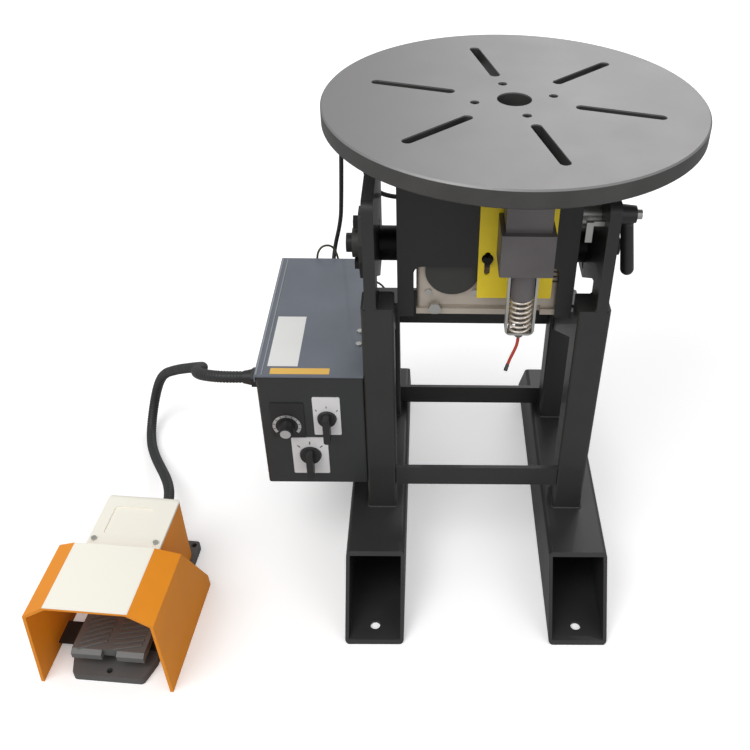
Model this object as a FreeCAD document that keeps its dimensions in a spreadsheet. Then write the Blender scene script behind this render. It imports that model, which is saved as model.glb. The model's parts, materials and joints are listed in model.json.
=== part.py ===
import FreeCAD, Part
import math
import os
import re
import Sketcher
from FreeCAD import Placement, Rotation, Vector

# Welding positioner: a turntable on a tilting head, carried by a two-legged frame,
# with a control box on its left flank and a guarded foot switch on the floor.
# Frame of the part: origin on the floor at the centre of the four anchor holes,
# +X to the operator's right, +Y away from the operator, +Z up. Millimetres.

SIZES = {
    # base frame
    "foot_spacing": 278, "foot_width": 80, "foot_height": 100, "foot_length": 556,
    "foot_slant": 78, "foot_wall": 5, "foot_corner": 6, "anchor_inset": 28, "anchor_hole": 14,
    "post_size": 40, "post_wall": 3, "post_corner": 4, "post_spacing": 264, "frame_depth": 236,
    "front_post_drop": 23, "rear_post_drop": 148, "rail_drop_front": 30, "rail_depth": 40,
    "rail_width": 30, "bar_thick": 6, "bar_height": 32, "front_bar_lift": 47,
    "cross_height": 60, "cross_thick": 6,
    # tilting axis and its supports
    "tilt_offset": 195, "plate_thick": 14, "plate_inset": 5, "plate_drop": 9,
    "plate_back": 60, "plate_low": 46, "plate_corner": 12,
    "shaft_dia": 25, "shaft_clear": 0.05, "shaft_end": 8, "collar_dia": 45, "seat_gap": 0.3,
    "flange_thick": 12, "flange_width": 60, "flange_height": 96, "flange_boss": 38,
    "boss_rise": 9, "bearing_pitch": 60, "bearing_bolt": 10, "bolt_head": 7,
    # clamp for the tilt
    "clamp_y": -60, "clamp_drop": 49, "stud_dia": 12, "slot_clear": 0.5, "spacer_dia": 30,
    "tee_dia": 22, "tee_thick": 8, "lever_hub": 26, "lever_hub_length": 24, "lever_washer": 5,
    "lever_reach": 76, "lever_grip": 17, "tilt_travel": 90,
    # head
    "head_width": 216, "head_depth": 180, "head_wall": 8, "deck_drop": 67, "head_cap": 10,
    "head_drop": 52, "panel_thick": 6, "panel_rise": 21, "leg_width": 20, "panel_corner": 10,
    # turntable
    "table_x": 28, "table_dia": 450, "table_thick": 22, "table_height": 663, "table_edge": 2,
    "table_bore": 41, "slot_width": 13, "slot_inner": 78.5, "slot_outer": 169,
    "slot_turn": -16.2, "slot_count": 6, "screw_circle": 96, "screw_turn": 13.2,
    "screw_count": 4, "screw_head": 10, "screw_recess": 11, "recess_depth": 8, "screw_dia": 6,
    "hub_dia": 130, "hub_thick": 13, "hub_bore": 20, "spindle_dia": 35,
    "bearing_side": 110, "bearing_base": 12, "bearing_tower": 72, "tower_gap": 2,
    "bearing_holes": 84,
    # gear unit and motor
    "case_left": -85, "case_right": 92, "case_front": -80, "case_back": 70, "case_under": 52,
    "case_over": 52, "lip_height": 8, "lip_reach": 3.5, "groove_height": 4, "neck_dia": 100,
    "worm_x": -41, "worm_rise": 10, "cover_dia": 66, "cover_thick": 3, "case_wall": 7,
    "wheel_dia": 112, "wheel_thick": 18, "worm_dia": 24,
    "motor_dia": 76, "motor_length": 130, "motor_flange": 84, "motor_flange_thick": 8,
    # earthing brush
    "bracket_left": -11, "bracket_width": 91, "bracket_thick": 3, "bracket_under": 21,
    "bracket_drop": 6, "bracket_slot": 7, "bracket_slot_rise": 12, "bracket_slot_length": 32,
    "bracket_bolt_rise": 35,
    "brush_x": 41, "holder_width": 62, "holder_depth": 53, "holder_drop": 130,
    "holder_height": 54, "brush_width": 52, "brush_depth": 38, "slide_clear": 0.3,
    "brush_floor": 12, "brush_travel": 6, "rod_dia": 10, "bush_dia": 30, "bush_length": 36,
    "strap_width": 36, "strap_thick": 3, "strap_depth": 12, "strap_length": 97,
    "spring_dia": 28, "spring_wire": 3, "spring_turns": 7,
    # control box
    "box_width": 138, "box_depth": 284, "box_low": 150, "box_high": 340, "box_wall": 2,
    "box_corner": 4, "gasket_thick": 2, "lid_lip": 9,
    "dial_x": -254, "dial_width": 44, "dial_low": 236, "dial_high": 296, "dial_thick": 1.5,
    "speed_x": -256, "speed_z": 256, "speed_dia": 21, "speed_length": 16,
    "upper_x": -202, "upper_z": 270, "upper_width": 36, "upper_low": 241, "upper_high": 306,
    "lower_x": -228, "lower_z": 204, "lower_width": 49, "lower_low": 169, "lower_high": 235,
    "cam_dia": 26, "cam_length": 17, "cam_pointer": 34, "cam_body": 32, "cam_body_depth": 45,
    "panel_hole": 10, "knob_gap": 0.4,
    # foot switch, in its own frame: +Y away from the toe, turned about Z when placed
    "pedal_x": -483.5, "pedal_y": -343.5, "pedal_turn": -5, "guard_base": 176,
    "guard_shoulder": 164, "guard_crown": 104, "guard_high": 150, "guard_shoulder_z": 130,
    "guard_wall": 4, "tab_inner": 36, "guard_long": 173, "guard_roof": 110, "guard_mouth": 7,
    "sole_width": 112, "sole_front": 7, "sole_back": 240, "sole_thick": 12, "sole_nose": 93,
    "sole_chamfer": 30, "switch_front": 112, "switch_back": 222, "switch_width": 100,
    "switch_high": 128, "switch_wall": 4, "switch_corner": 12,
    "tread_front": 20, "tread_back": 108, "tread_width": 96, "tread_thick": 9,
    "tread_high": 40, "tread_pivot_y": 100, "tread_pivot_z": 34, "tread_press": 6,
    "pivot_dia": 6, "pedal_spring_dia": 16, "pedal_spring_wire": 2,
    # cords
    "conduit_dia": 16, "cable_dia": 6.5, "bond_dia": 3.2, "lead_dia": 4, "gland_nut": 24,
    "gland_length": 22, "gland_grip": 3, "cable_gland_nut": 16, "cable_gland_length": 18,
    "motor_gland_length": 8, "conduit_exit_y": -88, "conduit_exit_z": 314,
    "cable_exit_x": -222, "cable_exit_z": 288, "cable_end_y": 120, "cable_end_drop": 8,
    "mains_x": -262, "conduit_entry_z": 46,
}

# Places that follow from the sizes.
PLACES = {
    "anchor_pitch": "foot_length - 2 * anchor_inset",
    "panel_edge": "tilt_height + panel_rise",
    "tilt_height": "table_height - tilt_offset", "head_top": "table_height - deck_drop",
    "plate_top": "head_top - plate_drop", "clamp_rise": "head_top - clamp_drop - tilt_height",
    "front_post_top": "tilt_height - front_post_drop",
    "rear_post_top": "tilt_height - rear_post_drop",
    "case_low": "tilt_height - case_under", "case_high": "tilt_height + case_over",
    "worm_z": "tilt_height + worm_rise", "cable_end_z": "worm_z - cable_end_drop",
    "bracket_low": "tilt_height - bracket_under", "bracket_high": "head_top - bracket_drop",
    "bracket_slot_low": "tilt_height + bracket_slot_rise",
    "bracket_slot_high": "bracket_slot_low + bracket_slot_length",
    "bracket_bolt_z": "tilt_height + bracket_bolt_rise",
    "holder_low": "table_low - holder_drop", "holder_high": "holder_low + holder_height",
    "strap_low": "holder_low - strap_length",
    "foot_x": "foot_spacing / 2", "post_x": "post_spacing / 2", "front_y": "-frame_depth / 2",
    "back_y": "frame_depth / 2", "post_out": "post_x + post_size / 2",
    "post_in": "post_x - post_size / 2", "plate_out": "post_out - plate_inset",
    "plate_in": "plate_out - plate_thick", "head_half": "head_width / 2",
    "head_front": "-head_depth / 2", "head_back": "head_depth / 2",
    "cheek_in": "head_half - head_wall", "head_low": "tilt_height - head_drop",
    "deck_low": "head_top - head_cap", "table_low": "table_height - table_thick",
    "hub_low": "table_low - hub_thick", "clamp_z": "tilt_height + clamp_rise",
    "clamp_radius": "sqrt(clamp_y * clamp_y + clamp_rise * clamp_rise)",
    "lever_x": "plate_out + lever_washer + knob_gap",
    "box_right": "-post_out", "box_left": "-post_out - box_width", "box_front": "front_y",
    "box_back": "front_y + box_depth", "wall_top": "box_high - box_wall - gasket_thick",
    "bracket_back": "head_front", "bracket_front": "head_front - bracket_thick",
    "holder_front": "head_front - bracket_thick - holder_depth",
    "brush_y": "head_front - bracket_thick - holder_depth / 2",
    "brush_low": "holder_low + brush_floor + brush_travel + 1",
    "brush_high": "table_low - seat_gap",
    "bush_high": "holder_low - brush_travel", "bush_low": "bush_high - bush_length",
    "knob_face": "front_y - dial_thick - knob_gap",
}

doc = FreeCAD.newDocument("welding_positioner")
sheet = doc.addObject("Spreadsheet::Sheet", "Sizes")
for row, (word, number) in enumerate(SIZES.items(), start=1):
    sheet.set("A%d" % row, word)
    sheet.set("B%d" % row, str(number))
    sheet.setAlias("B%d" % row, word)
doc.recompute()

NAME = re.compile(r"[a-z][a-z_0-9]*")
nodes = []


def ex(text):
    """Write a formula of named sizes and places in the document's own terms."""
    def swap(match):
        word = match.group(0)
        if word in PLACES:
            return "(" + ex(PLACES[word]) + ")"
        return "Sizes." + word if word in SIZES else word
    return NAME.sub(swap, str(text))


def value(text):
    """The number that a formula gives now."""
    return float(sheet.evalExpression(ex(text)))


def bind(thing, **formulas):
    """Tie properties to formulas; double underscores stand for dots."""
    for prop, text in formulas.items():
        thing.setExpression(prop.replace("__", "."), ex(text))
    return thing


def place(thing, at, turn=None):
    if turn is not None:
        thing.Placement = Placement(Vector(), turn)
    return bind(thing, Placement__Base__x=at[0], Placement__Base__y=at[1],
                Placement__Base__z=at[2])


def keep(thing, label):
    """Make an object one of the part's sub-parts."""
    thing.Label = label
    nodes.append(thing)
    return thing


def box(low, high):
    """A block between two corners given as formulas."""
    thing = doc.addObject("Part::Box", "block")
    size = ["(%s) - (%s)" % (top, base) for base, top in zip(low, high)]
    bind(thing, Length=size[0], Width=size[1], Height=size[2])
    return place(thing, low)


AXES = {
    "+X": Rotation(Vector(0, 1, 0), 90), "-X": Rotation(Vector(0, 1, 0), -90),
    "+Y": Rotation(Vector(1, 0, 0), -90), "-Y": Rotation(Vector(1, 0, 0), 90),
    "+Z": Rotation(), "-Z": Rotation(Vector(1, 0, 0), 180),
}


def rod(dia, length, at, axis="+Z"):
    """A cylinder that starts at a point and runs along an axis."""
    thing = doc.addObject("Part::Cylinder", "round")
    bind(thing, Radius="(%s) / 2" % dia, Height=length)
    return place(thing, at, AXES[axis])


def cone(dia, end_dia, length, at, axis="+Z"):
    thing = doc.addObject("Part::Cone", "taper")
    bind(thing, Radius1="(%s) / 2" % dia, Radius2="(%s) / 2" % end_dia, Height=length)
    return place(thing, at, AXES[axis])


def hexagon(across, length, at, axis="+Z"):
    """A hexagon bar, as a bolt's head or a nut."""
    thing = doc.addObject("Part::Prism", "hexagon")
    thing.Polygon = 6
    bind(thing, Circumradius="(%s) / sqrt(3)" % across, Height=length)
    return place(thing, at, AXES[axis])


def fuse(*things):
    thing = doc.addObject("Part::MultiFuse", "joined")
    thing.Shapes = list(things)
    return thing


def group(*things):
    """Separate solids that make one node."""
    thing = doc.addObject("Part::Compound", "set")
    thing.Links = list(things)
    return thing


def cut(base, *tools):
    thing = doc.addObject("Part::Cut", "cut")
    thing.Base = base
    thing.Tool = tools[0] if len(tools) == 1 else fuse(*tools)
    return thing


def common(base, tool):
    thing = doc.addObject("Part::Common", "shared")
    thing.Base = base
    thing.Tool = tool
    return thing


def round_edges(base, radius, wanted):
    """Fillet the edges whose middle and direction a test accepts."""
    doc.recompute()
    size = value(radius)
    picked = []
    for index, edge in enumerate(base.Shape.Edges, start=1):
        if edge.Curve.TypeId != "Part::GeomLine":
            continue
        first, last = edge.Vertexes[0].Point, edge.Vertexes[-1].Point
        if wanted((first + last) * 0.5, (last - first).normalize()):
            picked.append((index, size, size))
    thing = doc.addObject("Part::Fillet", "rounded")
    thing.Base = base
    thing.Edges = picked
    return thing


def along(letter):
    pick = {"x": lambda d: abs(d.x), "y": lambda d: abs(d.y), "z": lambda d: abs(d.z)}[letter]
    return lambda middle, way: pick(way) > 0.999


def mirror_x(thing):
    copy = doc.addObject("Part::Mirroring", "mirrored")
    copy.Source = thing
    copy.Base = Vector(0, 0, 0)
    copy.Normal = Vector(1, 0, 0)
    return copy


def origin_plane(body, role):
    return [item for item in body.Origin.OriginFeatures if item.Role == role][0]


def sketch_on(body, role, name, offset="0"):
    sketch = body.newObject("Sketcher::SketchObject", name)
    sketch.AttachmentSupport = (origin_plane(body, role), [""])
    sketch.MapMode = "FlatFace"
    bind(sketch, AttachmentOffset__Base__z=offset)
    return sketch


def pin_point(sketch, element, end, x_text, y_text):
    """Hold one point of a sketch at a place given as two formulas."""
    for kind, text in (("DistanceX", x_text), ("DistanceY", y_text)):
        number = value(text)
        index = sketch.addConstraint(
            Sketcher.Constraint(kind, -1, 1, element, end, number))
        sketch.setExpression("Constraints[%d]" % index, ex(text))


def draw_outline(sketch, points):
    """Draw a closed outline through points given as pairs of formulas."""
    spots = [Vector(value(x), value(y), 0) for x, y in points]
    first = sketch.GeometryCount
    for here, there in zip(spots, spots[1:] + spots[:1]):
        sketch.addGeometry(Part.LineSegment(here, there), False)
    for number in range(len(spots)):
        after = first + (number + 1) % len(spots)
        sketch.addConstraint(Sketcher.Constraint("Coincident", first + number, 2, after, 1))
    for number, (x_text, y_text) in enumerate(points):
        pin_point(sketch, first + number, 1, x_text, y_text)


def draw_circle(sketch, dia, x_text="0", y_text="0"):
    middle = Vector(value(x_text), value(y_text), 0)
    number = sketch.addGeometry(
        Part.Circle(middle, Vector(0, 0, 1), value(dia) / 2), False)
    pin_point(sketch, number, 3, x_text, y_text)
    index = sketch.addConstraint(Sketcher.Constraint("Diameter", number, value(dia)))
    sketch.setExpression("Constraints[%d]" % index, ex(dia))


def pad(body, sketch, length, midplane=False, reverse=False):
    thing = body.newObject("PartDesign::Pad", "pad")
    thing.Profile = sketch
    thing.Midplane = midplane
    thing.Reversed = reverse
    bind(thing, Length=length)
    return thing


def pocket(body, sketch, depth=None, reverse=False):
    thing = body.newObject("PartDesign::Pocket", "pocket")
    thing.Profile = sketch
    thing.Reversed = reverse
    if depth is None:
        thing.Type = "ThroughAll"
        thing.Midplane = True
    else:
        bind(thing, Length=depth)
    return thing


def prism(role, points, start, length):
    """A body padded from an outline on an origin plane; start is along the plane's normal."""
    body = doc.addObject("PartDesign::Body", "body")
    sketch = sketch_on(body, role, "outline", start)
    draw_outline(sketch, points)
    pad(body, sketch, length)
    return body


def coil_spring(dia, wire, turns, seat, top, at):
    """A round-wire coil standing between two faces, clear of both by the seat gap."""
    low = value("%s + seat_gap + %s / 2" % (seat, wire))
    high = value("%s - seat_gap - %s / 2" % (top, wire))
    radius = value("(%s - %s) / 2" % (dia, wire))
    helix = Part.makeHelix((high - low) / value(turns), high - low, radius)
    ring = Part.Wire(Part.Circle(Vector(radius, 0, 0), Vector(0, 1, 0),
                                 value(wire) / 2).toShape())
    spring = doc.addObject("Part::Feature", "coil")
    spring.Shape = Part.Wire(helix).makePipeShell([ring], True, True)
    spring.Placement = Placement(Vector(value(at[0]), value(at[1]), low), Rotation())
    return spring


def cord(label, points, dia):
    """A round cord of straight runs joined by arcs as large as the runs allow."""
    spots = [Vector(*point) for point in points]
    edges = []
    start = spots[0]
    radii = []
    for before, corner, after in zip(spots, spots[1:], spots[2:]):
        run_in = corner - before
        run_out = after - corner
        shorter = min(run_in.Length, run_out.Length)
        into = Vector(run_in).normalize()
        out = Vector(run_out).normalize()
        half = into.getAngle(out) / 2
        reach = 0.45 * shorter
        radii.append(reach / math.tan(half))
        enter = corner - into * reach
        leave = corner + out * reach
        inward = (out - into).normalize()
        rise = radii[-1] * (1 - math.cos(half))
        chord_middle = (enter + leave) * 0.5
        middle = chord_middle - inward * rise
        edges.append(Part.LineSegment(start, enter).toShape())
        edges.append(Part.Arc(enter, middle, leave).toShape())
        start = leave
    edges.append(Part.LineSegment(start, spots[-1]).toShape())
    path = Part.Wire(edges)
    ring = Part.Wire(Part.Circle(spots[0], spots[1] - spots[0], value(dia) / 2).toShape())
    solid = path.makePipeShell([ring], True, False)
    thing = doc.addObject("Part::Feature", label)
    thing.Shape = solid
    expected = math.pi * value(dia) ** 2 / 4 * path.Length
    print("%s: length %.1f, smallest radius %.1f, volume over section x length %.4f"
          % (label, path.Length, min(radii), solid.Volume / expected))
    return keep(thing, label)


# ---------------------------------------------------------------- base frame

def make_foot(label, side):
    """A rectangular tube with both ends cut on a slant and anchor holes in its lower wall."""
    middle = "%s * foot_x" % side
    outline = [("-foot_length / 2", "0"), ("foot_length / 2", "0"),
               ("foot_length / 2 - foot_slant", "foot_height"),
               ("-foot_length / 2 + foot_slant", "foot_height")]
    bar = prism("YZ_Plane", outline, "%s - foot_width / 2" % middle, "foot_width")
    bar = round_edges(bar, "foot_corner", along("y"))
    bore = box(("%s - foot_width / 2 + foot_wall" % middle, "-foot_length", "foot_wall"),
               ("%s + foot_width / 2 - foot_wall" % middle, "foot_length",
                "foot_height - foot_wall"))
    holes = [rod("anchor_hole", "foot_wall * 3", (middle, "%s * anchor_pitch / 2" % end,
                                                  "-foot_wall")) for end in (-1, 1)]
    return keep(cut(bar, bore, *holes), label)


def make_post(side, low, high, y_low):
    """A square tube standing on a foot."""
    middle = "%s * post_x" % side
    corner = (middle + " - post_size / 2", y_low, low)
    far = (middle + " + post_size / 2", "%s + post_size" % y_low, high)
    bar = round_edges(box(corner, far), "post_corner", along("z"))
    bore = box((middle + " - post_size / 2 + post_wall", "%s + post_wall" % y_low,
                low + " - 1"),
               (middle + " + post_size / 2 - post_wall",
                "%s + post_size - post_wall" % y_low, high + " - post_wall"))
    return cut(bar, bore)


def make_frame():
    make_foot("foot_left", "-1")
    make_foot("foot_right", "1")
    keep(group(*[make_post(side, "foot_height", "front_post_top", "front_y")
                 for side in ("-1", "1")]), "front_posts")
    keep(group(*[make_post(side, "foot_height", "rear_post_top", "back_y - post_size")
                 for side in ("-1", "1")]), "rear_posts")
    rail = [("front_y + post_size", "front_post_top - rail_drop_front - rail_depth"),
            ("back_y - post_size", "rear_post_top - rail_depth - 5"),
            ("back_y - post_size", "rear_post_top - 5"),
            ("front_y + post_size", "front_post_top - rail_drop_front")]
    right = prism("YZ_Plane", rail, "post_x - rail_width / 2", "rail_width")
    keep(group(right, mirror_x(right)), "side_rails")
    keep(box(("-post_in", "front_y", "foot_height + front_bar_lift"),
             ("post_in", "front_y + bar_thick", "foot_height + front_bar_lift + bar_height")),
         "front_crossbar")
    keep(box(("-post_in", "back_y - bar_thick", "foot_height"),
             ("post_in", "back_y", "foot_height + bar_height")), "rear_crossbar")
    keep(box(("-post_in", "back_y - cross_thick", "rear_post_top - cross_height"),
             ("post_in", "back_y", "rear_post_top")), "rear_cross_member")


# ------------------------------------------------------- side plates and tilt bearings

def make_side_plates():
    """Plates welded on the front posts, reaching back to carry the tilt bearings."""
    outline = [("front_y", "front_post_top"), ("front_y + post_size", "front_post_top"),
               ("front_y + post_size", "front_post_top + 22"),
               ("-6", "tilt_height - plate_low"), ("plate_back / 2", "tilt_height - plate_low"),
               ("plate_back", "tilt_height - plate_low + plate_back / 2"),
               ("plate_back", "plate_top"), ("front_y", "plate_top")]
    plates = []
    for side in (1, -1):
        plate = prism("YZ_Plane", outline, "plate_in", "plate_thick")
        plate = round_edges(plate, "plate_corner", lambda middle, way: (
            abs(way.x) > 0.999 and middle.z > value("plate_top") - 1))
        holes = [rod("shaft_dia + 5", "plate_thick * 3",
                     ("plate_in - plate_thick", "0", "tilt_height"), "+X")]
        for up in (-1, 1):
            holes.append(rod("bearing_bolt + 1", "plate_thick * 3",
                             ("plate_in - plate_thick", "0",
                              "tilt_height + %d * bearing_pitch / 2" % up), "+X"))
        if side > 0:
            holes.append(rod("stud_dia + 1", "plate_thick * 3",
                             ("plate_in - plate_thick", "clamp_y", "clamp_z"), "+X"))
        drilled = cut(plate, *holes)
        plates.append(drilled if side > 0 else mirror_x(drilled))
    keep(group(*plates), "side_plates")


def make_tilt_bearings():
    """Two-bolt flange bearings on the outside of the side plates, with their bolts."""
    half = "flange_height / 2"
    outline = [("-flange_width / 2", "tilt_height - 12"), ("-13", "tilt_height - %s" % half),
               ("13", "tilt_height - %s" % half), ("flange_width / 2", "tilt_height - 12"),
               ("flange_width / 2", "tilt_height + 12"), ("13", "tilt_height + %s" % half),
               ("-13", "tilt_height + %s" % half), ("-flange_width / 2", "tilt_height + 12")]
    flange = prism("YZ_Plane", outline, "plate_out", "flange_thick")
    flange = round_edges(flange, "8", along("x"))
    tower = rod("flange_boss", "flange_thick + boss_rise", ("plate_out", "0", "tilt_height"), "+X")
    tools = [rod("shaft_dia + 2 * shaft_clear", "100", ("plate_out - 10", "0", "tilt_height"),
                 "+X")]
    for up in (-1, 1):
        tools.append(rod("bearing_bolt + 1", "60",
                         ("plate_out - 10", "0",
                          "tilt_height + %d * bearing_pitch / 2" % up), "+X"))
    right = cut(fuse(flange, tower), *tools)
    keep(group(right, mirror_x(right)), "tilt_bearings")
    bolts = []
    for up in (-1, 1):
        level = "tilt_height + %d * bearing_pitch / 2" % up
        head = hexagon("bearing_bolt * 1.7", "bolt_head",
                       ("plate_out + flange_thick", "0", level), "+X")
        shank = rod("bearing_bolt", "plate_thick + flange_thick - 1",
                    ("plate_in + 1", "0", level), "+X")
        bolt = fuse(head, shank)
        bolts += [bolt, mirror_x(bolt)]
    keep(group(*bolts), "bearing_bolts")


def make_clamp():
    """The stud, spacer and lever that lock the tilt through the head's arc slot."""
    here = ("clamp_y", "clamp_z")
    tee = hexagon("tee_dia", "tee_thick", ("cheek_in - seat_gap - tee_thick",) + here, "+X")
    shank = rod("stud_dia", "lever_x + lever_hub_length + 7 - (cheek_in - seat_gap)",
                ("cheek_in - seat_gap",) + here, "+X")
    keep(fuse(tee, shank), "clamp_stud")
    ring = rod("spacer_dia", "plate_in - head_half - seat_gap", ("head_half + seat_gap",) + here,
               "+X")
    hole = rod("stud_dia + 0.6", "60", ("head_half - 5",) + here, "+X")
    washer = rod("lever_hub", "lever_washer", ("plate_out",) + here, "+X")
    bore = rod("stud_dia + 0.6", "60", ("plate_out - 5",) + here, "+X")
    keep(group(cut(ring, hole), cut(washer, bore)), "clamp_spacer")

    hub = cone("lever_hub", "lever_hub * 0.8", "lever_hub_length", ("lever_x",) + here, "+X")
    knee = doc.addObject("Part::Sphere", "knee")
    bind(knee, Radius="lever_hub * 0.36")
    place(knee, ("lever_x + lever_hub_length * 0.6", "clamp_y", "clamp_z - lever_hub * 0.3"))
    grip = doc.addObject("Part::Sphere", "grip_end")
    bind(grip, Radius="lever_grip / 2")
    place(grip, ("lever_x + lever_hub_length", "clamp_y", "clamp_z - lever_reach"))
    arm = doc.addObject("Part::Cone", "arm")
    bind(arm, Radius1="lever_hub * 0.3", Radius2="lever_grip / 2",
         Height="sqrt(pow(lever_reach - lever_hub * 0.3; 2) + pow(lever_hub_length * 0.4; 2))")
    lean = math.degrees(math.atan2(value("lever_hub_length * 0.4"),
                                   value("lever_reach - lever_hub * 0.3")))
    place(arm, ("lever_x + lever_hub_length * 0.6", "clamp_y", "clamp_z - lever_hub * 0.3"),
          Rotation(Vector(0, 1, 0), 180 - lean))
    bore = rod("stud_dia + 0.1", "80", ("lever_x - 5",) + here, "+X")
    keep(cut(fuse(hub, knee, arm, grip), bore), "clamp_lever")

    level = "tilt_height + 62"
    flag = box(("plate_in - 21", "front_y + 20", level),
               ("plate_in - 13", "front_y + 23", level + " + 26"))
    foot = box(("plate_in - 21", "front_y + 23", level + " + 20"),
               ("plate_in", "front_y + 26", level + " + 26"))
    keep(fuse(flag, foot), "tilt_pointer")


# --------------------------------------------------------------------------- head

def make_head():
    """The tilting box: cheeks, deck and a front panel that opens over the gear unit."""
    shell = box(("-head_half", "head_front", "head_low"), ("head_half", "head_back", "head_top"))
    hollow = box(("-cheek_in", "head_front + panel_thick", "head_low - 10"),
                 ("cheek_in", "head_back + 10", "deck_low"))
    window = box(("-head_half + leg_width", "head_front - 10", "head_low - 20"),
                 ("head_half - leg_width", "head_front + panel_thick + 5", "panel_edge"))
    window = round_edges(window, "panel_corner", lambda middle, way: (
        abs(way.y) > 0.999 and middle.z > value("panel_edge") - 1))
    hole = rod("bearing_tower - 6", "head_cap * 3", ("table_x", "0", "deck_low - head_cap"))
    outer = rod("2 * clamp_radius + stud_dia + 2 * slot_clear", "head_wall * 4",
                ("cheek_in - head_wall", "0", "tilt_height"), "+X")
    inner = rod("2 * clamp_radius - stud_dia - 2 * slot_clear", "head_wall * 4",
                ("cheek_in - head_wall", "0", "tilt_height"), "+X")
    ring = cut(outer, inner)
    start = math.degrees(math.atan2(value("clamp_rise"), value("clamp_y")))
    end = start - value("tilt_travel")
    reach = "clamp_radius * 3"
    sector = doc.addObject("Part::Cylinder", "sector")
    bind(sector, Radius=reach, Height="head_wall * 4", Angle="tilt_travel")
    place(sector, ("cheek_in - head_wall", "0", "tilt_height"),
          Rotation(Vector(1, 0, 0), end).multiply(Rotation(Vector(1, 1, 1), 120)))
    arc = common(ring, sector)
    frame = cut(shell, hollow)
    for tool in (window, hole, arc):
        frame = cut(frame, tool)
    for angle in (start, end):
        turn = math.radians(angle)
        frame = cut(frame, rod("stud_dia + 2 * slot_clear", "head_wall * 4",
                               ("cheek_in - head_wall", "%.6f * clamp_radius" % math.cos(turn),
                                "tilt_height + %.6f * clamp_radius" % math.sin(turn)), "+X"))
    keep(frame, "head_frame")

    collar = rod("collar_dia", "plate_in - head_half - seat_gap", ("head_half", "0", "tilt_height"),
                 "+X")
    shaft = rod("shaft_dia", "plate_out + flange_thick + boss_rise + shaft_end - head_half",
                ("head_half", "0", "tilt_height"), "+X")
    right = fuse(collar, shaft)
    keep(group(right, mirror_x(right)), "trunnions")

    half = "bearing_side / 2"
    base = box(("table_x - %s" % half, "-%s" % half, "head_top"),
               ("table_x + %s" % half, half, "head_top + bearing_base"))
    base = round_edges(base, "10", along("z"))
    tower = rod("bearing_tower", "hub_low - tower_gap - head_top", ("table_x", "0", "head_top"))
    bore = rod("spindle_dia + 2 * shaft_clear", "100", ("table_x", "0", "head_top - 20"))
    holes = [rod("9", "60", ("table_x + %d * bearing_holes / 2" % a, "%d * bearing_holes / 2" % b,
                             "head_top - 20")) for a in (-1, 1) for b in (-1, 1)]
    keep(cut(fuse(base, tower), bore, *holes), "table_bearing")


# ----------------------------------------------------------------------- gear unit

def make_gear_unit():
    """Cast gear case under the deck, its round worm cover, motor and screws."""
    block = box(("case_left", "case_front", "case_low"), ("case_right", "case_back", "case_high"))
    block = round_edges(block, "6", along("z"))
    lip = box(("case_left", "case_front - lip_reach", "case_low"),
              ("case_right", "case_front + 4", "case_low + lip_height"))
    groove = box(("case_left + 26", "case_front - 1", "case_low + lip_height"),
                 ("case_right - 26", "case_front + 2.5", "case_low + lip_height + groove_height"))
    neck = rod("neck_dia", "deck_low - case_high + 5", ("table_x", "0", "case_high - 5"))
    bore = rod("spindle_dia + 0.6", "300", ("table_x", "0", "case_low - 20"))
    notch = box(("case_right - 30", "case_front - 10", "case_low - 5"),
                ("case_right - 22", "case_front + 6", "case_low + 12"))
    fins = [box(("case_right - 14", "case_front - 2", "worm_z - %d" % down),
                ("case_right + 1", "case_front + 5", "worm_z - %d + 3" % down))
            for down in (16, 9, 2)]
    case = cut(fuse(block, lip, neck), bore, groove, notch, *fins)
    keep(case, "gearbox_housing")

    disc = rod("cover_dia", "cover_thick", ("worm_x", "case_front - cover_thick", "worm_z"), "+Y")
    keep(disc, "gearbox_cover")

    plate = box(("worm_x - motor_flange / 2", "case_back", "worm_z - motor_flange / 2"),
                ("worm_x + motor_flange / 2", "case_back + motor_flange_thick",
                 "worm_z + motor_flange / 2"))
    plate = round_edges(plate, "8", along("y"))
    can = rod("motor_dia", "motor_length", ("worm_x", "case_back + motor_flange_thick", "worm_z"),
              "+Y")
    cap = cone("motor_dia", "motor_dia * 0.86", "10",
               ("worm_x", "case_back + motor_flange_thick + motor_length", "worm_z"), "+Y")
    keep(fuse(plate, can, cap), "motor")
    side = "worm_x - motor_dia / 2"
    terminal = box((side + " - 8", "cable_end_y - 20", "cable_end_z - 12"),
                   (side + " + 8", "cable_end_y + 20", "cable_end_z + 18"))
    clear = rod("motor_dia + 2 * seat_gap", "400", ("worm_x", "0", "worm_z"), "+Y")
    keep(cut(round_edges(terminal, "3", along("x")), clear), "motor_terminal_box")

    screws = []
    for a in (-1, 1):
        for b in (-1, 1):
            spot = ("table_x + %d * bearing_holes / 2" % a, "%d * bearing_holes / 2" % b)
            head = rod("13", "8", spot + ("head_top + bearing_base",))
            shank = rod("8", "bearing_base + 2", spot + ("head_top - 2",))
            screws.append(fuse(head, cut(shank, rod("20", "2", spot + ("head_top - 2",)))))
            ring = "cover_dia / 2 + 7"
            at = ("worm_x + %d * (%s) * 0.72" % (a, ring), "case_front - 3",
                  "worm_z + %d * (%s) * 0.76" % (b, ring))
            screws.append(rod("8", "3", at, "+Y"))
    plug = hexagon("14", "5", ("case_left + 23", "case_front - lip_reach - 5", "case_low + 10"),
                   "+Y")
    screws.append(plug)
    for x in ("bracket_left + 11", "bracket_left + bracket_width - 11"):
        head = hexagon("10", "5", (x, "bracket_front - 6", "bracket_bolt_z"), "+Y")
        washer = rod("14", "1", (x, "bracket_front - 1", "bracket_bolt_z"), "+Y")
        screws.append(fuse(head, washer))
    keep(group(*screws), "head_screws")


# ------------------------------------------------------------------ earthing brush

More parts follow.
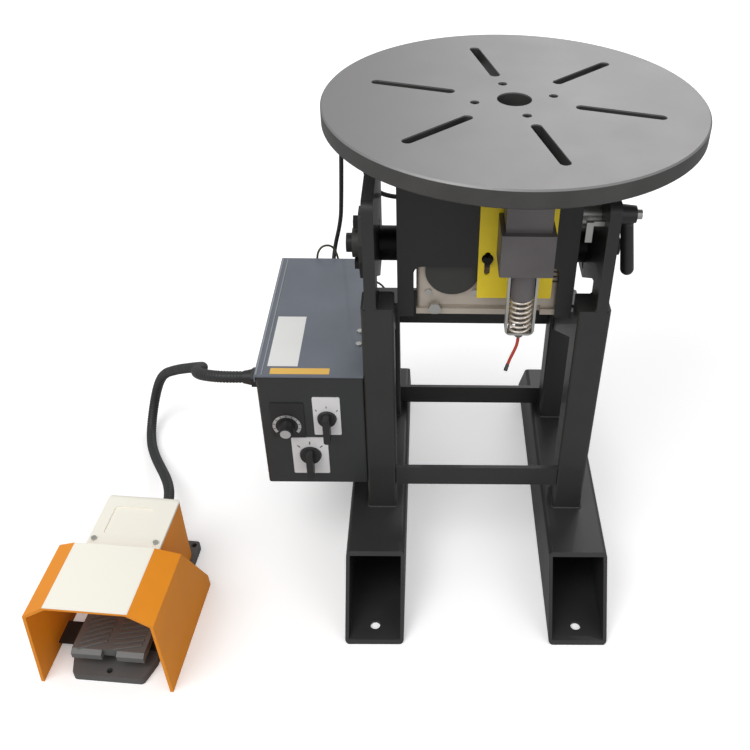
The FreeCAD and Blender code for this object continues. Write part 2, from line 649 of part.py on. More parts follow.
def make_brush():
    """Yellow slotted bracket, sprung contact brush in its holder, strap and spring."""
    plate = box(("bracket_left", "bracket_front", "bracket_low"),
                ("bracket_left + bracket_width", "bracket_back", "bracket_high"))
    slots = []
    for x in ("bracket_left + 11", "bracket_left + bracket_width - 11"):
        slot = box((x + " - bracket_slot / 2", "bracket_front - 5", "bracket_slot_low"),
                   (x + " + bracket_slot / 2", "bracket_back + 5", "bracket_slot_high"))
        slots.append(round_edges(slot, "bracket_slot / 2 - 0.05", along("y")))
    keep(cut(plate, *slots), "brush_bracket")

    block = box(("brush_x - holder_width / 2", "holder_front", "holder_low"),
                ("brush_x + holder_width / 2", "bracket_front", "holder_high"))
    block = round_edges(block, "2", along("z"))
    guide = box(("brush_x - brush_width / 2 - slide_clear", "brush_y - brush_depth / 2 - slide_clear",
                 "holder_low + brush_floor"),
                ("brush_x + brush_width / 2 + slide_clear", "brush_y + brush_depth / 2 + slide_clear",
                 "holder_high + 5"))
    bore = rod("rod_dia + 0.2", "100", ("brush_x", "brush_y", "holder_low - 20"))
    keep(cut(block, guide, bore), "brush_holder")

    carbon = box(("brush_x - brush_width / 2", "brush_y - brush_depth / 2", "brush_low"),
                 ("brush_x + brush_width / 2", "brush_y + brush_depth / 2", "brush_high"))
    stem = rod("rod_dia", "brush_low - (strap_low - 4)", ("brush_x", "brush_y", "strap_low - 4"))
    bush = rod("bush_dia", "bush_length", ("brush_x", "brush_y", "bush_low"))
    keep(fuse(carbon, stem, bush), "brush")

    outer = box(("brush_x - strap_width / 2", "brush_y - strap_depth / 2", "strap_low"),
                ("brush_x + strap_width / 2", "brush_y + strap_depth / 2", "holder_low"))
    outer = round_edges(outer, "8", lambda middle, way: (
        abs(way.y) > 0.999 and middle.z < value("strap_low") + 1))
    inner = box(("brush_x - strap_width / 2 + strap_thick", "brush_y - strap_depth",
                 "strap_low + strap_thick"),
                ("brush_x + strap_width / 2 - strap_thick", "brush_y + strap_depth",
                 "holder_low + 5"))
    hole = rod("rod_dia + 1", "20", ("brush_x", "brush_y", "strap_low - 5"))
    keep(cut(outer, inner, hole), "brush_strap")

    coil = coil_spring("spring_dia", "spring_wire", "spring_turns",
                       "strap_low + strap_thick", "bush_low", ("brush_x", "brush_y"))
    keep(coil, "brush_spring")


# ----------------------------------------------------------------------- turntable

def make_table():
    """The slotted plate, its spindle and the four screws that hold them together."""
    body = doc.addObject("PartDesign::Body", "table_body")
    face = sketch_on(body, "XY_Plane", "rim", "table_low")
    draw_circle(face, "table_dia", "table_x", "0")
    pad(body, face, "table_thick")
    centre = sketch_on(body, "XY_Plane", "bore", "table_height")
    draw_circle(centre, "table_bore", "table_x", "0")
    pocket(body, centre, "table_thick")
    doc.recompute()
    plate = doc.addObject("Part::Chamfer", "edge_broken")
    plate.Base = body
    rims = [index for index, edge in enumerate(body.Shape.Edges, start=1)
            if edge.Curve.TypeId == "Part::GeomCircle"
            and edge.Curve.Radius > value("table_dia") / 2 - 1]
    edge = value("table_edge")
    plate.Edges = [(index, edge, edge) for index in rims]
    cuts = []
    for number in range(int(value("slot_count"))):
        turn = math.radians(value("slot_turn") + 360 / value("slot_count") * number)
        ends = []
        for radius in ("slot_inner", "slot_outer"):
            spot = ("table_x + %.6f * %s" % (math.cos(turn), radius),
                    "%.6f * %s" % (math.sin(turn), radius))
            ends.append(rod("slot_width", "table_thick * 2", spot + ("table_low - table_thick / 2",)))
        web = doc.addObject("Part::Box", "web")
        bind(web, Length="slot_outer - slot_inner", Width="slot_width", Height="table_thick * 2")
        web.Placement = Placement(Vector(), Rotation(Vector(0, 0, 1), math.degrees(turn)))
        bind(web,
             Placement__Base__x="table_x + %.6f * slot_inner + %.6f * slot_width / 2"
             % (math.cos(turn), math.sin(turn)),
             Placement__Base__y="%.6f * slot_inner - %.6f * slot_width / 2"
             % (math.sin(turn), math.cos(turn)),
             Placement__Base__z="table_low - table_thick / 2")
        cuts.append(fuse(web, *ends))
    screws = []
    seats = []
    for number in range(int(value("screw_count"))):
        turn = math.radians(value("screw_turn") + 360 / value("screw_count") * number)
        spot = ("table_x + %.6f * screw_circle / 2" % math.cos(turn),
                "%.6f * screw_circle / 2" % math.sin(turn))
        cuts.append(rod("screw_recess", "recess_depth + 5",
                        spot + ("table_height - recess_depth",)))
        cuts.append(rod("screw_dia + 0.6", "table_thick * 2",
                        spot + ("table_low - table_thick / 2",)))
        head = rod("screw_head", "screw_dia", spot + ("table_height - recess_depth",))
        socket = hexagon("5", "3", spot + ("table_height - recess_depth + screw_dia - 3",))
        shank = rod("screw_dia", "table_thick - recess_depth + hub_thick - 3",
                    spot + ("hub_low + 3",))
        screws.append(fuse(cut(head, socket), shank))
        seats.append(rod("screw_dia + 0.1", "hub_thick", spot + ("hub_low + 2",)))
    keep(cut(plate, *cuts), "table_plate")
    keep(group(*screws), "table_screws")
    flange = rod("hub_dia", "hub_thick", ("table_x", "0", "hub_low"))
    shaft = rod("spindle_dia", "hub_low - case_low + 1", ("table_x", "0", "case_low"))
    bore = rod("hub_bore", "400", ("table_x", "0", "case_low - 20"))
    keep(cut(fuse(flange, shaft), bore, *seats), "spindle")


# --------------------------------------------------------------------- control box

def make_control_box():
    """Sheet-metal case on the left posts, with lid, seal, switches and their plates."""
    shell = box(("box_left", "box_front", "box_low"), ("box_right", "box_back", "wall_top"))
    shell = round_edges(shell, "box_corner", along("z"))
    inside = box(("box_left + box_wall", "box_front + box_wall", "box_low + box_wall"),
                 ("box_right - box_wall", "box_back - box_wall", "box_high + 5"))
    holes = [rod("panel_hole", "30", (x, "box_front - 10", z), "+Y")
             for x, z in (("speed_x", "speed_z"), ("upper_x", "upper_z"), ("lower_x", "lower_z"))]
    holes.append(rod("conduit_dia", "30", ("box_left - 10", "conduit_exit_y", "conduit_exit_z"),
                     "+X"))
    holes.append(rod("cable_dia + 1", "30", ("cable_exit_x", "box_back - 10", "cable_exit_z"),
                     "+Y"))
    holes.append(rod("14", "30", ("mains_x", "box_back - 60", "box_low - 10")))
    for z in ("box_low + 40", "box_high - 60"):
        holes.append(rod("9", "30", ("box_right - 10", "front_y + post_size / 2", z), "+X"))
    keep(cut(shell, inside, *holes), "control_box_body")

    rim = box(("box_left", "box_front", "wall_top"), ("box_right", "box_back",
                                                     "wall_top + gasket_thick"))
    open_part = box(("box_left + 8", "box_front + 8", "wall_top - 5"),
                    ("box_right - 8", "box_back - 8", "box_high"))
    keep(cut(round_edges(rim, "box_corner", along("z")), open_part), "lid_gasket")
    top = box(("box_left - box_wall", "box_front", "box_high - box_wall"),
              ("box_right", "box_back", "box_high"))
    fold = box(("box_left - box_wall", "box_front", "box_high - lid_lip"),
               ("box_left - 0.2", "box_back", "box_high - box_wall"))
    lid = round_edges(fuse(top, fold), "1.5", lambda middle, way: (
        abs(way.y) > 0.999 and middle.z > value("box_high") - 0.5
        and middle.x < value("box_left")))
    keep(lid, "control_box_lid")
    screws = []
    for y in ("-50", "-21", "box_back - 30"):
        screws.append(rod("8", "2.5", ("box_right - 10", y, "box_high")))
    keep(group(*screws), "lid_screws")
    bolts = []
    for z in ("box_low + 40", "box_high - 60"):
        head = hexagon("13", "5", ("box_right - box_wall - 5", "front_y + post_size / 2", z), "+X")
        shank = rod("8", "box_wall", ("box_right - box_wall", "front_y + post_size / 2", z), "+X")
        bolts.append(fuse(head, shank))
    keep(group(*bolts), "box_bolts")

    def plate(x, wide, low, high):
        sheet_metal = box((x + " - (%s) / 2" % wide, "box_front - dial_thick", low),
                          (x + " + (%s) / 2" % wide, "box_front", high))
        return round_edges(sheet_metal, "2", along("y"))

    dial = plate("dial_x", "dial_width", "dial_low", "dial_high")
    keep(cut(dial, rod("panel_hole", "30", ("speed_x", "box_front - 10", "speed_z"), "+Y")),
         "speed_dial_plate")
    upper = cut(plate("upper_x", "upper_width", "upper_low", "upper_high"),
                rod("panel_hole", "30", ("upper_x", "box_front - 10", "upper_z"), "+Y"))
    lower = cut(plate("lower_x", "lower_width", "lower_low", "lower_high"),
                rod("panel_hole", "30", ("lower_x", "box_front - 10", "lower_z"), "+Y"))
    keep(group(upper, lower), "switch_plates")

    cams = []
    for x, z in (("upper_x", "upper_z"), ("lower_x", "lower_z")):
        body = box((x + " - cam_body / 2", "box_front + box_wall", z + " - cam_body / 2"),
                   (x + " + cam_body / 2", "box_front + box_wall + cam_body_depth",
                    z + " + cam_body / 2"))
        neck = rod("panel_hole - 0.4", "box_wall + dial_thick", (x, "box_front - dial_thick", z),
                   "+Y")
        stem = rod("6", "14", (x, "knob_face - 10", z), "+Y")
        cams.append(fuse(body, neck, stem))
    keep(group(*cams), "cam_switches")
    pot = rod("24", "16", ("speed_x", "box_front + box_wall", "speed_z"), "+Y")
    neck = rod("panel_hole - 0.4", "box_wall + dial_thick",
               ("speed_x", "box_front - dial_thick", "speed_z"), "+Y")
    stem = rod("6", "14", ("speed_x", "knob_face - 10", "speed_z"), "+Y")
    keep(fuse(pot, neck, stem), "speed_pot")

    foot = "box_low + box_wall"
    base = box(("box_left + 14", "box_front + 70", foot), ("box_right - 14", "box_back - 24",
                                                          foot + " + 4"))
    block = box(("box_left + 20", "box_front + 84", foot + " + 4"),
                ("box_left + 78", "box_front + 176", foot + " + 62"))
    rail = box(("box_right - 50", "box_front + 84", foot + " + 4"),
               ("box_right - 22", "box_front + 210", foot + " + 30"))
    coil = rod("58", "50", ("box_left + 50", "box_front + 216", foot + " + 4"))
    keep(fuse(base, block, rail, coil), "power_supply")

    for label, x, z, high, wide in (("upper_knob", "upper_x", "upper_z", "cam_length", "cam_dia"),
                                    ("lower_knob", "lower_x", "lower_z", "cam_length",
                                     "cam_dia + 4")):
        disc = cone("(%s) * 0.92" % wide, wide, "4", (x, "knob_face - 4", z), "+Y")
        wing = box((x + " - 4.5", "knob_face - %s" % high, z + " - cam_pointer + 3"),
                   (x + " + 4.5", "knob_face - 3", z + " + (%s) / 2 - 2" % wide))
        wing = round_edges(wing, "3.5", along("y"))
        bore = rod("6.1", "10.5", (x, "knob_face - 10.3", z), "+Y")
        keep(cut(fuse(disc, wing), bore), label)
    skirt = cone("speed_dia * 0.85", "speed_dia", "speed_length",
                 ("speed_x", "knob_face - speed_length", "speed_z"), "+Y")
    bore = rod("6.1", "10.5", ("speed_x", "knob_face - 10.3", "speed_z"), "+Y")
    keep(cut(skirt, bore), "speed_knob")


# --------------------------------------------------------------------- foot switch

def settle(thing):
    """Stand a foot-switch piece on the floor at its place and turn."""
    thing = group(thing)
    thing.Placement = Placement(Vector(), Rotation(Vector(0, 0, 1), value("pedal_turn")))
    return bind(thing, Placement__Base__x="pedal_x", Placement__Base__y="pedal_y",
                Placement__Base__z="0")


def arch(inset, start, length):
    """Cross-section of the guard: splayed sides, sloping shoulders and a flat roof."""
    half = "(guard_base / 2 - %s)" % inset
    shoulder = "(guard_shoulder / 2 - %s)" % inset
    crown = "(guard_crown / 2 - %s / 2)" % inset
    foot = "0" if inset == "0" else "-5"
    outline = [("-" + half, foot), ("-" + shoulder, "guard_shoulder_z - %s / 2" % inset),
               ("-" + crown, "guard_high - %s" % inset), (crown, "guard_high - %s" % inset),
               (shoulder, "guard_shoulder_z - %s / 2" % inset), (half, foot)]
    return prism("XZ_Plane", outline, "-(%s) - (%s)" % (start, length), length)


def make_foot_switch():
    """Guarded foot switch: sole, switch housing, guard, tread on a pin, spring and switch."""
    outer = arch("0", "guard_mouth - 7", "guard_long")
    inner = arch("guard_wall", "-20", "guard_long + 60")
    back = prism("YZ_Plane", [("guard_long + 2", "-5"), ("guard_long + 2", "guard_high + 20"),
                              ("guard_roof - 15", "guard_high + 20"),
                              ("guard_roof", "guard_high"), ("guard_long", "20"),
                              ("guard_long", "-5")], "-guard_base", "guard_base * 2")
    front = prism("YZ_Plane", [("-5", "-5"), ("0", "0"), ("guard_mouth", "guard_high"),
                               ("guard_mouth", "guard_high + 20"), ("-5", "guard_high + 20")],
                  "-guard_base", "guard_base * 2")
    tabs = []
    for side in ("-1", "1"):
        near = "%s * tab_inner" % side
        far = "%s * (guard_base / 2 - 0.75 * guard_wall)" % side
        low, high = (far, near) if side == "-1" else (near, far)
        tabs.append(box((low, "50", "sole_thick"), (high, "84", "sole_thick + 3")))
    keep(settle(fuse(cut(outer, inner, back, front), *tabs)), "pedal_guard")

    sole = prism("XY_Plane", [("-sole_nose / 2", "sole_front"), ("sole_nose / 2", "sole_front"),
                              ("sole_width / 2", "sole_front + sole_chamfer"),
                              ("sole_width / 2", "sole_back"), ("-sole_width / 2", "sole_back"),
                              ("-sole_width / 2", "sole_front + sole_chamfer")], "0",
                 "sole_thick")
    sole = round_edges(sole, "6", along("z"))
    ears = []
    for side in ("-1", "1"):
        ears.append(box(("%s * 53 - 3" % side, "tread_pivot_y - 8", "sole_thick"),
                        ("%s * 53 + 3" % side, "tread_pivot_y + 8", "tread_pivot_z + 8")))
    holes = [rod("8", "40", (x, y, "-5")) for x, y in (("0", "sole_front + 9"),
                                                       ("-48", "sole_back - 8"),
                                                       ("48", "sole_back - 8"))]
    holes.append(rod("pivot_dia + 0.1", "140", ("-70", "tread_pivot_y", "tread_pivot_z"), "+X"))
    keep(settle(cut(fuse(sole, *ears), *holes)), "pedal_base")

    case = box(("-switch_width / 2", "switch_front", "sole_thick"),
               ("switch_width / 2", "switch_back", "switch_high"))
    case = round_edges(case, "switch_corner", lambda middle, way: (
        (abs(way.z) > 0.999 and middle.y > value("switch_back") - 1)
        or (abs(way.x) > 0.999 and middle.z > value("switch_high") - 1
            and middle.y > value("switch_back") - 1)))
    void = box(("-switch_width / 2 + switch_wall", "switch_front + switch_wall", "sole_thick - 5"),
               ("switch_width / 2 - switch_wall", "switch_back - switch_wall",
                "switch_high - switch_wall"))
    entry = rod("conduit_dia", "40", ("0", "switch_back - 20", "46"), "+Y")
    gate = box(("-8", "switch_front - 10", "24"), ("8", "switch_front + 10", "40"))
    recess = box(("-switch_width / 2 + 16", "switch_front + 34", "switch_high - 2"),
                 ("switch_width / 2 - 30", "switch_back - 26", "switch_high + 5"))
    keep(settle(cut(case, void, entry, gate, round_edges(recess, "6", along("z")))),
         "pedal_housing")

    tread = prism("YZ_Plane", [("tread_front", "tread_high - tread_thick - 2"),
                               ("tread_back", "tread_pivot_z - tread_thick / 2 - 1"),
                               ("tread_back", "tread_pivot_z + tread_thick / 2 + 1"),
                               ("tread_front + 6", "tread_high + 2"),
                               ("tread_front", "tread_high - 2")], "-tread_width / 2",
                  "tread_width")
    notch = box(("-8", "tread_front - 5", "0"), ("12", "tread_front + 7", "tread_high + 20"))
    boss = rod("16", "tread_width - 4", ("-tread_width / 2 + 2", "tread_pivot_y", "tread_pivot_z"),
               "+X")
    toe = box(("-7", "tread_back - 4", "tread_pivot_z - 5"),
              ("7", "switch_front + 12", "tread_pivot_z + 1"))
    bore = rod("pivot_dia + 0.1", "140", ("-70", "tread_pivot_y", "tread_pivot_z"), "+X")
    keep(settle(cut(fuse(tread, boss, toe), bore, notch)), "foot_pedal")
    keep(settle(rod("pivot_dia", "114", ("-57", "tread_pivot_y", "tread_pivot_z"), "+X")),
         "pedal_pin")
    keep(settle(box(("-12", "switch_front + 14", "sole_thick"),
                    ("12", "switch_front + 54", "sole_thick + 34"))), "pedal_microswitch")
    lift = "tread_pivot_z - tread_thick / 2 - 1 - 2 * seat_gap"
    coil = coil_spring("pedal_spring_dia", "pedal_spring_wire", "4", "sole_thick", lift,
                       ("0", "62"))
    keep(settle(coil), "pedal_spring")
    screws = [rod("8", "3", ("%s * (tab_inner + 6)" % side, "67", "sole_thick + 3"))
              for side in (-1, 1)]
    screws += [rod("7", "3", (x, y, "switch_high")) for x, y in (
        ("-switch_width / 2 + 8", "switch_front + 24"), ("switch_width / 2 - 8",
                                                         "switch_front + 24"))]
    keep(settle(group(*screws)), "pedal_screws")


# --------------------------------------------------------------- glands and cords

def gland(nut, bore, length, at, axis):
    """A screwed cable gland with a domed nut."""
    base = hexagon(nut, "%s * 0.45" % length, at, axis)
    step = {"+X": (1, 0, 0), "-X": (-1, 0, 0), "+Y": (0, 1, 0), "-Y": (0, -1, 0),
            "-Z": (0, 0, -1)}[axis]
    tip = tuple("%s + %d * (%s) * 0.45" % (here, way, length) for here, way in zip(at, step))
    dome = cone("(%s) * 0.92" % nut, "(%s) * 0.7" % nut, "(%s) * 0.55" % length, tip, axis)
    back = tuple("%s - %d * 5" % (here, way) for here, way in zip(at, step))
    return cut(fuse(base, dome), rod(bore, "(%s) + 10" % length, back, axis))


CONDUIT_ROUTE = [
    (-312.0, -88.0, 314.0), (-343.0, -88.0, 314.0), (-370.1, -74.1, 305.9),
    (-384.9, -50.5, 291.5), (-388.9, -23.7, 274.0), (-392.3, 2.8, 255.9),
    (-399.4, 27.7, 237.3), (-411.1, 50.8, 218.7), (-426.5, 72.0, 200.7),
    (-444.3, 91.7, 183.2), (-462.5, 110.8, 165.7), (-480.4, 129.3, 147.3),
    (-497.4, 148.0, 128.2), (-512.7, 164.5, 105.9), (-525.9, 175.3, 79.4),
    (-536.0, 174.2, 50.5), (-541.0, 158.2, 24.9), (-539.7, 131.8, 9.6),
    (-531.5, 101.8, 8.4), (-518.8, 72.8, 12.5), (-504.3, 45.3, 19.2),
    (-489.6, 18.4, 27.4), (-475.7, -9.0, 35.6), (-464.8, -38.0, 42.2),
    (-459.53, -69.52, 46.0), (-462.23, -100.4, 46.0),
]
CABLE_ROUTE = [
    (-222, 184, 288), (-222, 206, 288), (-221, 227, 300), (-218, 239, 321), (-211, 238, 349),
    (-205, 224, 381), (-201, 207, 425), (-198, 198, 472), (-196.4, 194.5, 502.5),
    (-190.3, 183, 525), (-179.4, 162, 536), (-167.5, 139.3, 531.4), (-159, 123, 513),
    (-153, 117, 492), (-138.3, 119, 476), (-117, 120, 470), (-95, 120, 470),
]
BOND_ROUTE = [
    (-240, 171, 316), (-240, 171, 334), (-237, 172, 350), (-228, 173, 359), (-216, 175, 357),
    (-210, 177, 344), (-207, 177, 326), (-198, 177, 311), (-181, 177, 300), (-162, 175, 297),
    (-144, 166, 296), (-134, 149, 294), (-131, 131, 288), (-132, 123, 272), (-132, 123, 256),
]
LEAD_ROUTE = [
    (41, -119.5, 410), (41, -119.5, 398), (37, -121, 386), (32, -122, 373), (29, -122, 360),
]


def make_cords():
    """Glands, earthing lugs and the cords between the housings."""
    conduit_end = gland("gland_nut", "conduit_dia - gland_grip", "gland_length",
                        ("box_left", "conduit_exit_y", "conduit_exit_z"), "-X")
    pedal_end = settle(gland("gland_nut", "conduit_dia - gland_grip", "gland_length",
                             ("0", "switch_back", "conduit_entry_z"), "+Y"))
    motor_end = gland("cable_gland_nut", "cable_dia - gland_grip", "cable_gland_length",
                      ("cable_exit_x", "box_back", "cable_exit_z"), "+Y")
    mains = gland("20", "8", "18", ("mains_x", "box_back - 60", "box_low"), "-Z")
    keep(group(conduit_end, pedal_end, motor_end, mains), "glands")
    keep(gland("cable_gland_nut", "cable_dia - gland_grip", "motor_gland_length",
               ("worm_x - motor_dia / 2 - 8", "cable_end_y", "cable_end_z"), "-X"), "motor_gland")
    box_lug = box(("-244", "box_back", "304"), ("-236", "box_back + 8", "316"))
    post_lug = box(("-136", "back_y", "244"), ("-128", "back_y + 9", "256"))
    keep(group(box_lug, post_lug), "bond_lugs")
    cord("conduit", CONDUIT_ROUTE, "conduit_dia")
    cord("motor_cable", CABLE_ROUTE, "cable_dia")
    cord("bond_wire", BOND_ROUTE, "bond_dia")
    cord("brush_lead", LEAD_ROUTE, "lead_dia")


make_frame()
make_side_plates()
make_tilt_bearings()
make_clamp()
make_head()
make_gear_unit()
make_brush()
make_table()
make_control_box()
make_foot_switch()
make_cords()
doc.recompute()

failed = [thing for thing in doc.Objects if "Invalid" in thing.State or "Error" in thing.State]
for thing in failed:
    print("failed object: %s, %s %s" % (thing.Label, thing.Name, thing.getStatusString()))
if failed:
    raise SystemExit("the part has failed objects")
os.makedirs("parts", exist_ok=True)
for thing in nodes:
    shape = thing.Shape
    if shape.isNull() or not shape.isValid() or not shape.Solids:
        raise SystemExit("bad shape: " + thing.Label)
    shape.exportStep("parts/%s.step" % thing.Label)
print("%d sub-parts written" % len(nodes))
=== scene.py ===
import json
import logging
import math
from dataclasses import dataclass
from enum import Enum
from typing import Any, Optional, Sequence

import bmesh
import bpy
from mathutils import Matrix, Vector


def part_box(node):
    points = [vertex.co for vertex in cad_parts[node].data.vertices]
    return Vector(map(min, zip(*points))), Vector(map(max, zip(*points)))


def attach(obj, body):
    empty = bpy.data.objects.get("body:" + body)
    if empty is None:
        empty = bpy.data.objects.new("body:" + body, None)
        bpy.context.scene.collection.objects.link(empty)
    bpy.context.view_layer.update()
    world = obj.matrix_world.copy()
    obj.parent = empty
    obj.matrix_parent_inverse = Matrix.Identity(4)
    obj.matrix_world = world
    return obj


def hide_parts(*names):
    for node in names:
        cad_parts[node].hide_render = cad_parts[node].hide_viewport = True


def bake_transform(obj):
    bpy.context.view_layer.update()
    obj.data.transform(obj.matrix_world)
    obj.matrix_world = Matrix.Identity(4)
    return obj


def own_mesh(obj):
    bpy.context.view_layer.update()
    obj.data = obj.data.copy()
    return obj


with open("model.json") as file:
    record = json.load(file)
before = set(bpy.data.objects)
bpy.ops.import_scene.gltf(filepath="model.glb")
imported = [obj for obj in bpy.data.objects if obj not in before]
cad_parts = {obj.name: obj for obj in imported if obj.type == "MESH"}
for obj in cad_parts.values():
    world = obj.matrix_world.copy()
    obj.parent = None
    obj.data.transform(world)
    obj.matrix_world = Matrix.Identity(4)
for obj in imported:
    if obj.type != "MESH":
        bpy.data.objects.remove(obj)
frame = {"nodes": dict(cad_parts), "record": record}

LOG = logging.getLogger("welding_positioner")
MM = 0.001
# Foot switch: the middle of its front edge on the floor, and its turn about Z.
TOE = Vector((-483.5, -343.5, 0)) * MM
TURN = math.radians(-5)
# Where second colours start, in metres: heights, and half the width between the guard's walls.
TABLE_TOP_EDGE = 0.6612
HOUSING_TOP = 0.1245
GUARD_TOP = 0.1494
GUARD_INNER_HALF = 0.0825
GUARD_TAB_TOP = 16 * MM
SCREWS_SPLIT = 0.470
# Middle of the table's turned rings, m, and X and Z of the dials, mm.
TABLE_AXIS_X = 28 * MM
SPEED_DIAL = (-256, 256)
UPPER_DIAL = (-202, 270)
LOWER_DIAL = (-228, 204)
STRAIGHT_ANGLE = 1e-4
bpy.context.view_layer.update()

Colour = tuple[float, float, float]
Point = tuple[float, float, float]
ORANGE: Colour = (0.92, 0.31, 0.010)
CREAM: Colour = (0.95, 0.92, 0.82)
ZINC: Colour = (0.50, 0.50, 0.48)


class Body(str, Enum):
    """Moving and fixed bodies that pieces ride on."""

    BASE = "base"
    HEAD = "head"
    BRUSH = "brush"
    PEDAL = "pedal"
    SPEED = "speed_control"


@dataclass(frozen=True)
class Zone:
    """A second colour over part of a piece, picked by object coordinates in metres.

    It covers what is higher than above. With across set, what is nearer than that to the foot
    switch's middle and lower than its guard's tabs is dark.
    """

    colour: Colour
    above: float
    across: Optional[float] = None


@dataclass(frozen=True)
class Finish:
    """How one material slot looks."""

    colour: Colour
    roughness: float
    metallic: float = 0.0
    tint: float = 0.08
    grain: float = 400.0
    depth: float = 0.05
    coat: float = 0.0
    rings: float = 0.0
    zone: Optional[Zone] = None


FINISHES: dict[str, Finish] = {
    "frame_paint": Finish((0.022, 0.023, 0.022), 0.46, tint=0.14, depth=0.12, coat=0.10),
    "box_paint": Finish((0.024, 0.026, 0.027), 0.42, tint=0.08, depth=0.10, coat=0.10),
    "table_steel": Finish((0.085, 0.083, 0.081), 0.48, 0.55, tint=0.14, grain=16.0, depth=0.05,
                          rings=2400.0, zone=Zone((0.262, 0.256, 0.256), TABLE_TOP_EDGE)),
    "zinc": Finish(ZINC, 0.34, 0.9, tint=0.12),
    "black_oxide": Finish((0.022, 0.022, 0.022), 0.42, 0.5, tint=0.12),
    "cast_aluminium": Finish((0.54, 0.48, 0.41), 0.54, 0.4, tint=0.16, grain=900.0, depth=0.35),
    "motor_paint": Finish((0.036, 0.036, 0.034), 0.52, tint=0.12, depth=0.15),
    "yellow_zinc": Finish((0.94, 0.70, 0.020), 0.46, tint=0.10),
    "brush_steel": Finish((0.150, 0.138, 0.140), 0.46, 0.5, tint=0.16, depth=0.10),
    "black_plastic": Finish((0.016, 0.016, 0.017), 0.44, tint=0.05, depth=0.10),
    "plate_metal": Finish((0.80, 0.79, 0.80), 0.42, 0.1, tint=0.04),
    "rubber": Finish((0.018, 0.018, 0.018), 0.60, tint=0.05),
    "conduit_plastic": Finish((0.020, 0.021, 0.022), 0.46, tint=0.06),
    "orange_paint": Finish(ORANGE, 0.55, tint=0.05, depth=0.08),
    "grey_plastic": Finish((0.155, 0.160, 0.156), 0.46, 0.2, tint=0.12, depth=0.15),
    "red_sleeve": Finish((0.50, 0.05, 0.03), 0.60, tint=0.10, grain=1500.0, depth=0.30),
    "green_yellow": Finish((0.06, 0.07, 0.03), 0.45, tint=0.05),
}
# Finishes of single solids that differ from their slot's.
SPECIAL: dict[str, str] = {
    "pedal_housing": "housing_two_tone",
    "pedal_guard": "guard_two_tone",
    "speed_dial_plate": "black_plastic",
    # The lid's lighter finish is painted light falling on the box's top.
    "control_box_lid": "lid_paint_painted_light",
    # The head frame's darker finish is painted shade from the table above it.
    "head_frame": "head_paint_painted_shade",
    "pedal_base": "sole_grey",
    "table_screws": "black_oxide",
    "head_screws": "screws_two_tone",
}
EXTRA: dict[str, Finish] = {
    "label_white": Finish((0.80, 0.80, 0.78), 0.45, tint=0.02),
    "label_yellow": Finish((0.83, 0.50, 0.10), 0.45, tint=0.03),
    "housing_two_tone": Finish(ORANGE, 0.55, tint=0.05, depth=0.08,
                               zone=Zone(CREAM, HOUSING_TOP)),
    "guard_two_tone": Finish(ORANGE, 0.55, tint=0.05, depth=0.08,
                             zone=Zone(CREAM, GUARD_TOP, across=GUARD_INNER_HALF)),
    "screws_two_tone": Finish(ZINC, 0.34, 0.9, tint=0.12,
                              zone=Zone((0.018, 0.018, 0.018), SCREWS_SPLIT)),
    # Lid: the box paint made lighter and bluer, painted light from above on the top.
    "lid_paint_painted_light": Finish((0.135, 0.152, 0.184), 0.40, tint=0.10, depth=0.10, coat=0.20),
    # Head frame: the frame paint made darker, a painted shade cast by the table above.
    "head_paint_painted_shade": Finish((0.007, 0.008, 0.007), 0.46, tint=0.14, depth=0.12, coat=0.10),
    "spring_steel": Finish((0.80, 0.73, 0.66), 0.36, 0.7, tint=0.08),
    "sole_grey": Finish((0.110, 0.106, 0.104), 0.50, tint=0.10, depth=0.12),
    # Hem strips: a light grey that is a painted highlight on the lid's left edge and ridge.
    "hem_painted_highlight": Finish((0.30, 0.32, 0.35), 0.35, tint=0.06),
    "crimp_metal": Finish((0.12, 0.12, 0.12), 0.4, 0.8),
    "ink": Finish((0.012, 0.012, 0.012), 0.55, tint=0.02),
    "silver": Finish((0.62, 0.62, 0.62), 0.30, 0.8, tint=0.04),
}


def add_node(tree: bpy.types.NodeTree, kind: str, operation: Optional[str] = None) -> Any:
    """Add a shader node to a tree.

    Args:
        tree: The tree that it joins.
        kind: Its type, without the ShaderNode in front.
        operation: What a math node works out.

    Returns:
        The node.
    """
    node = tree.nodes.new(f"ShaderNode{kind}")
    if operation:
        node.operation = operation
    return node


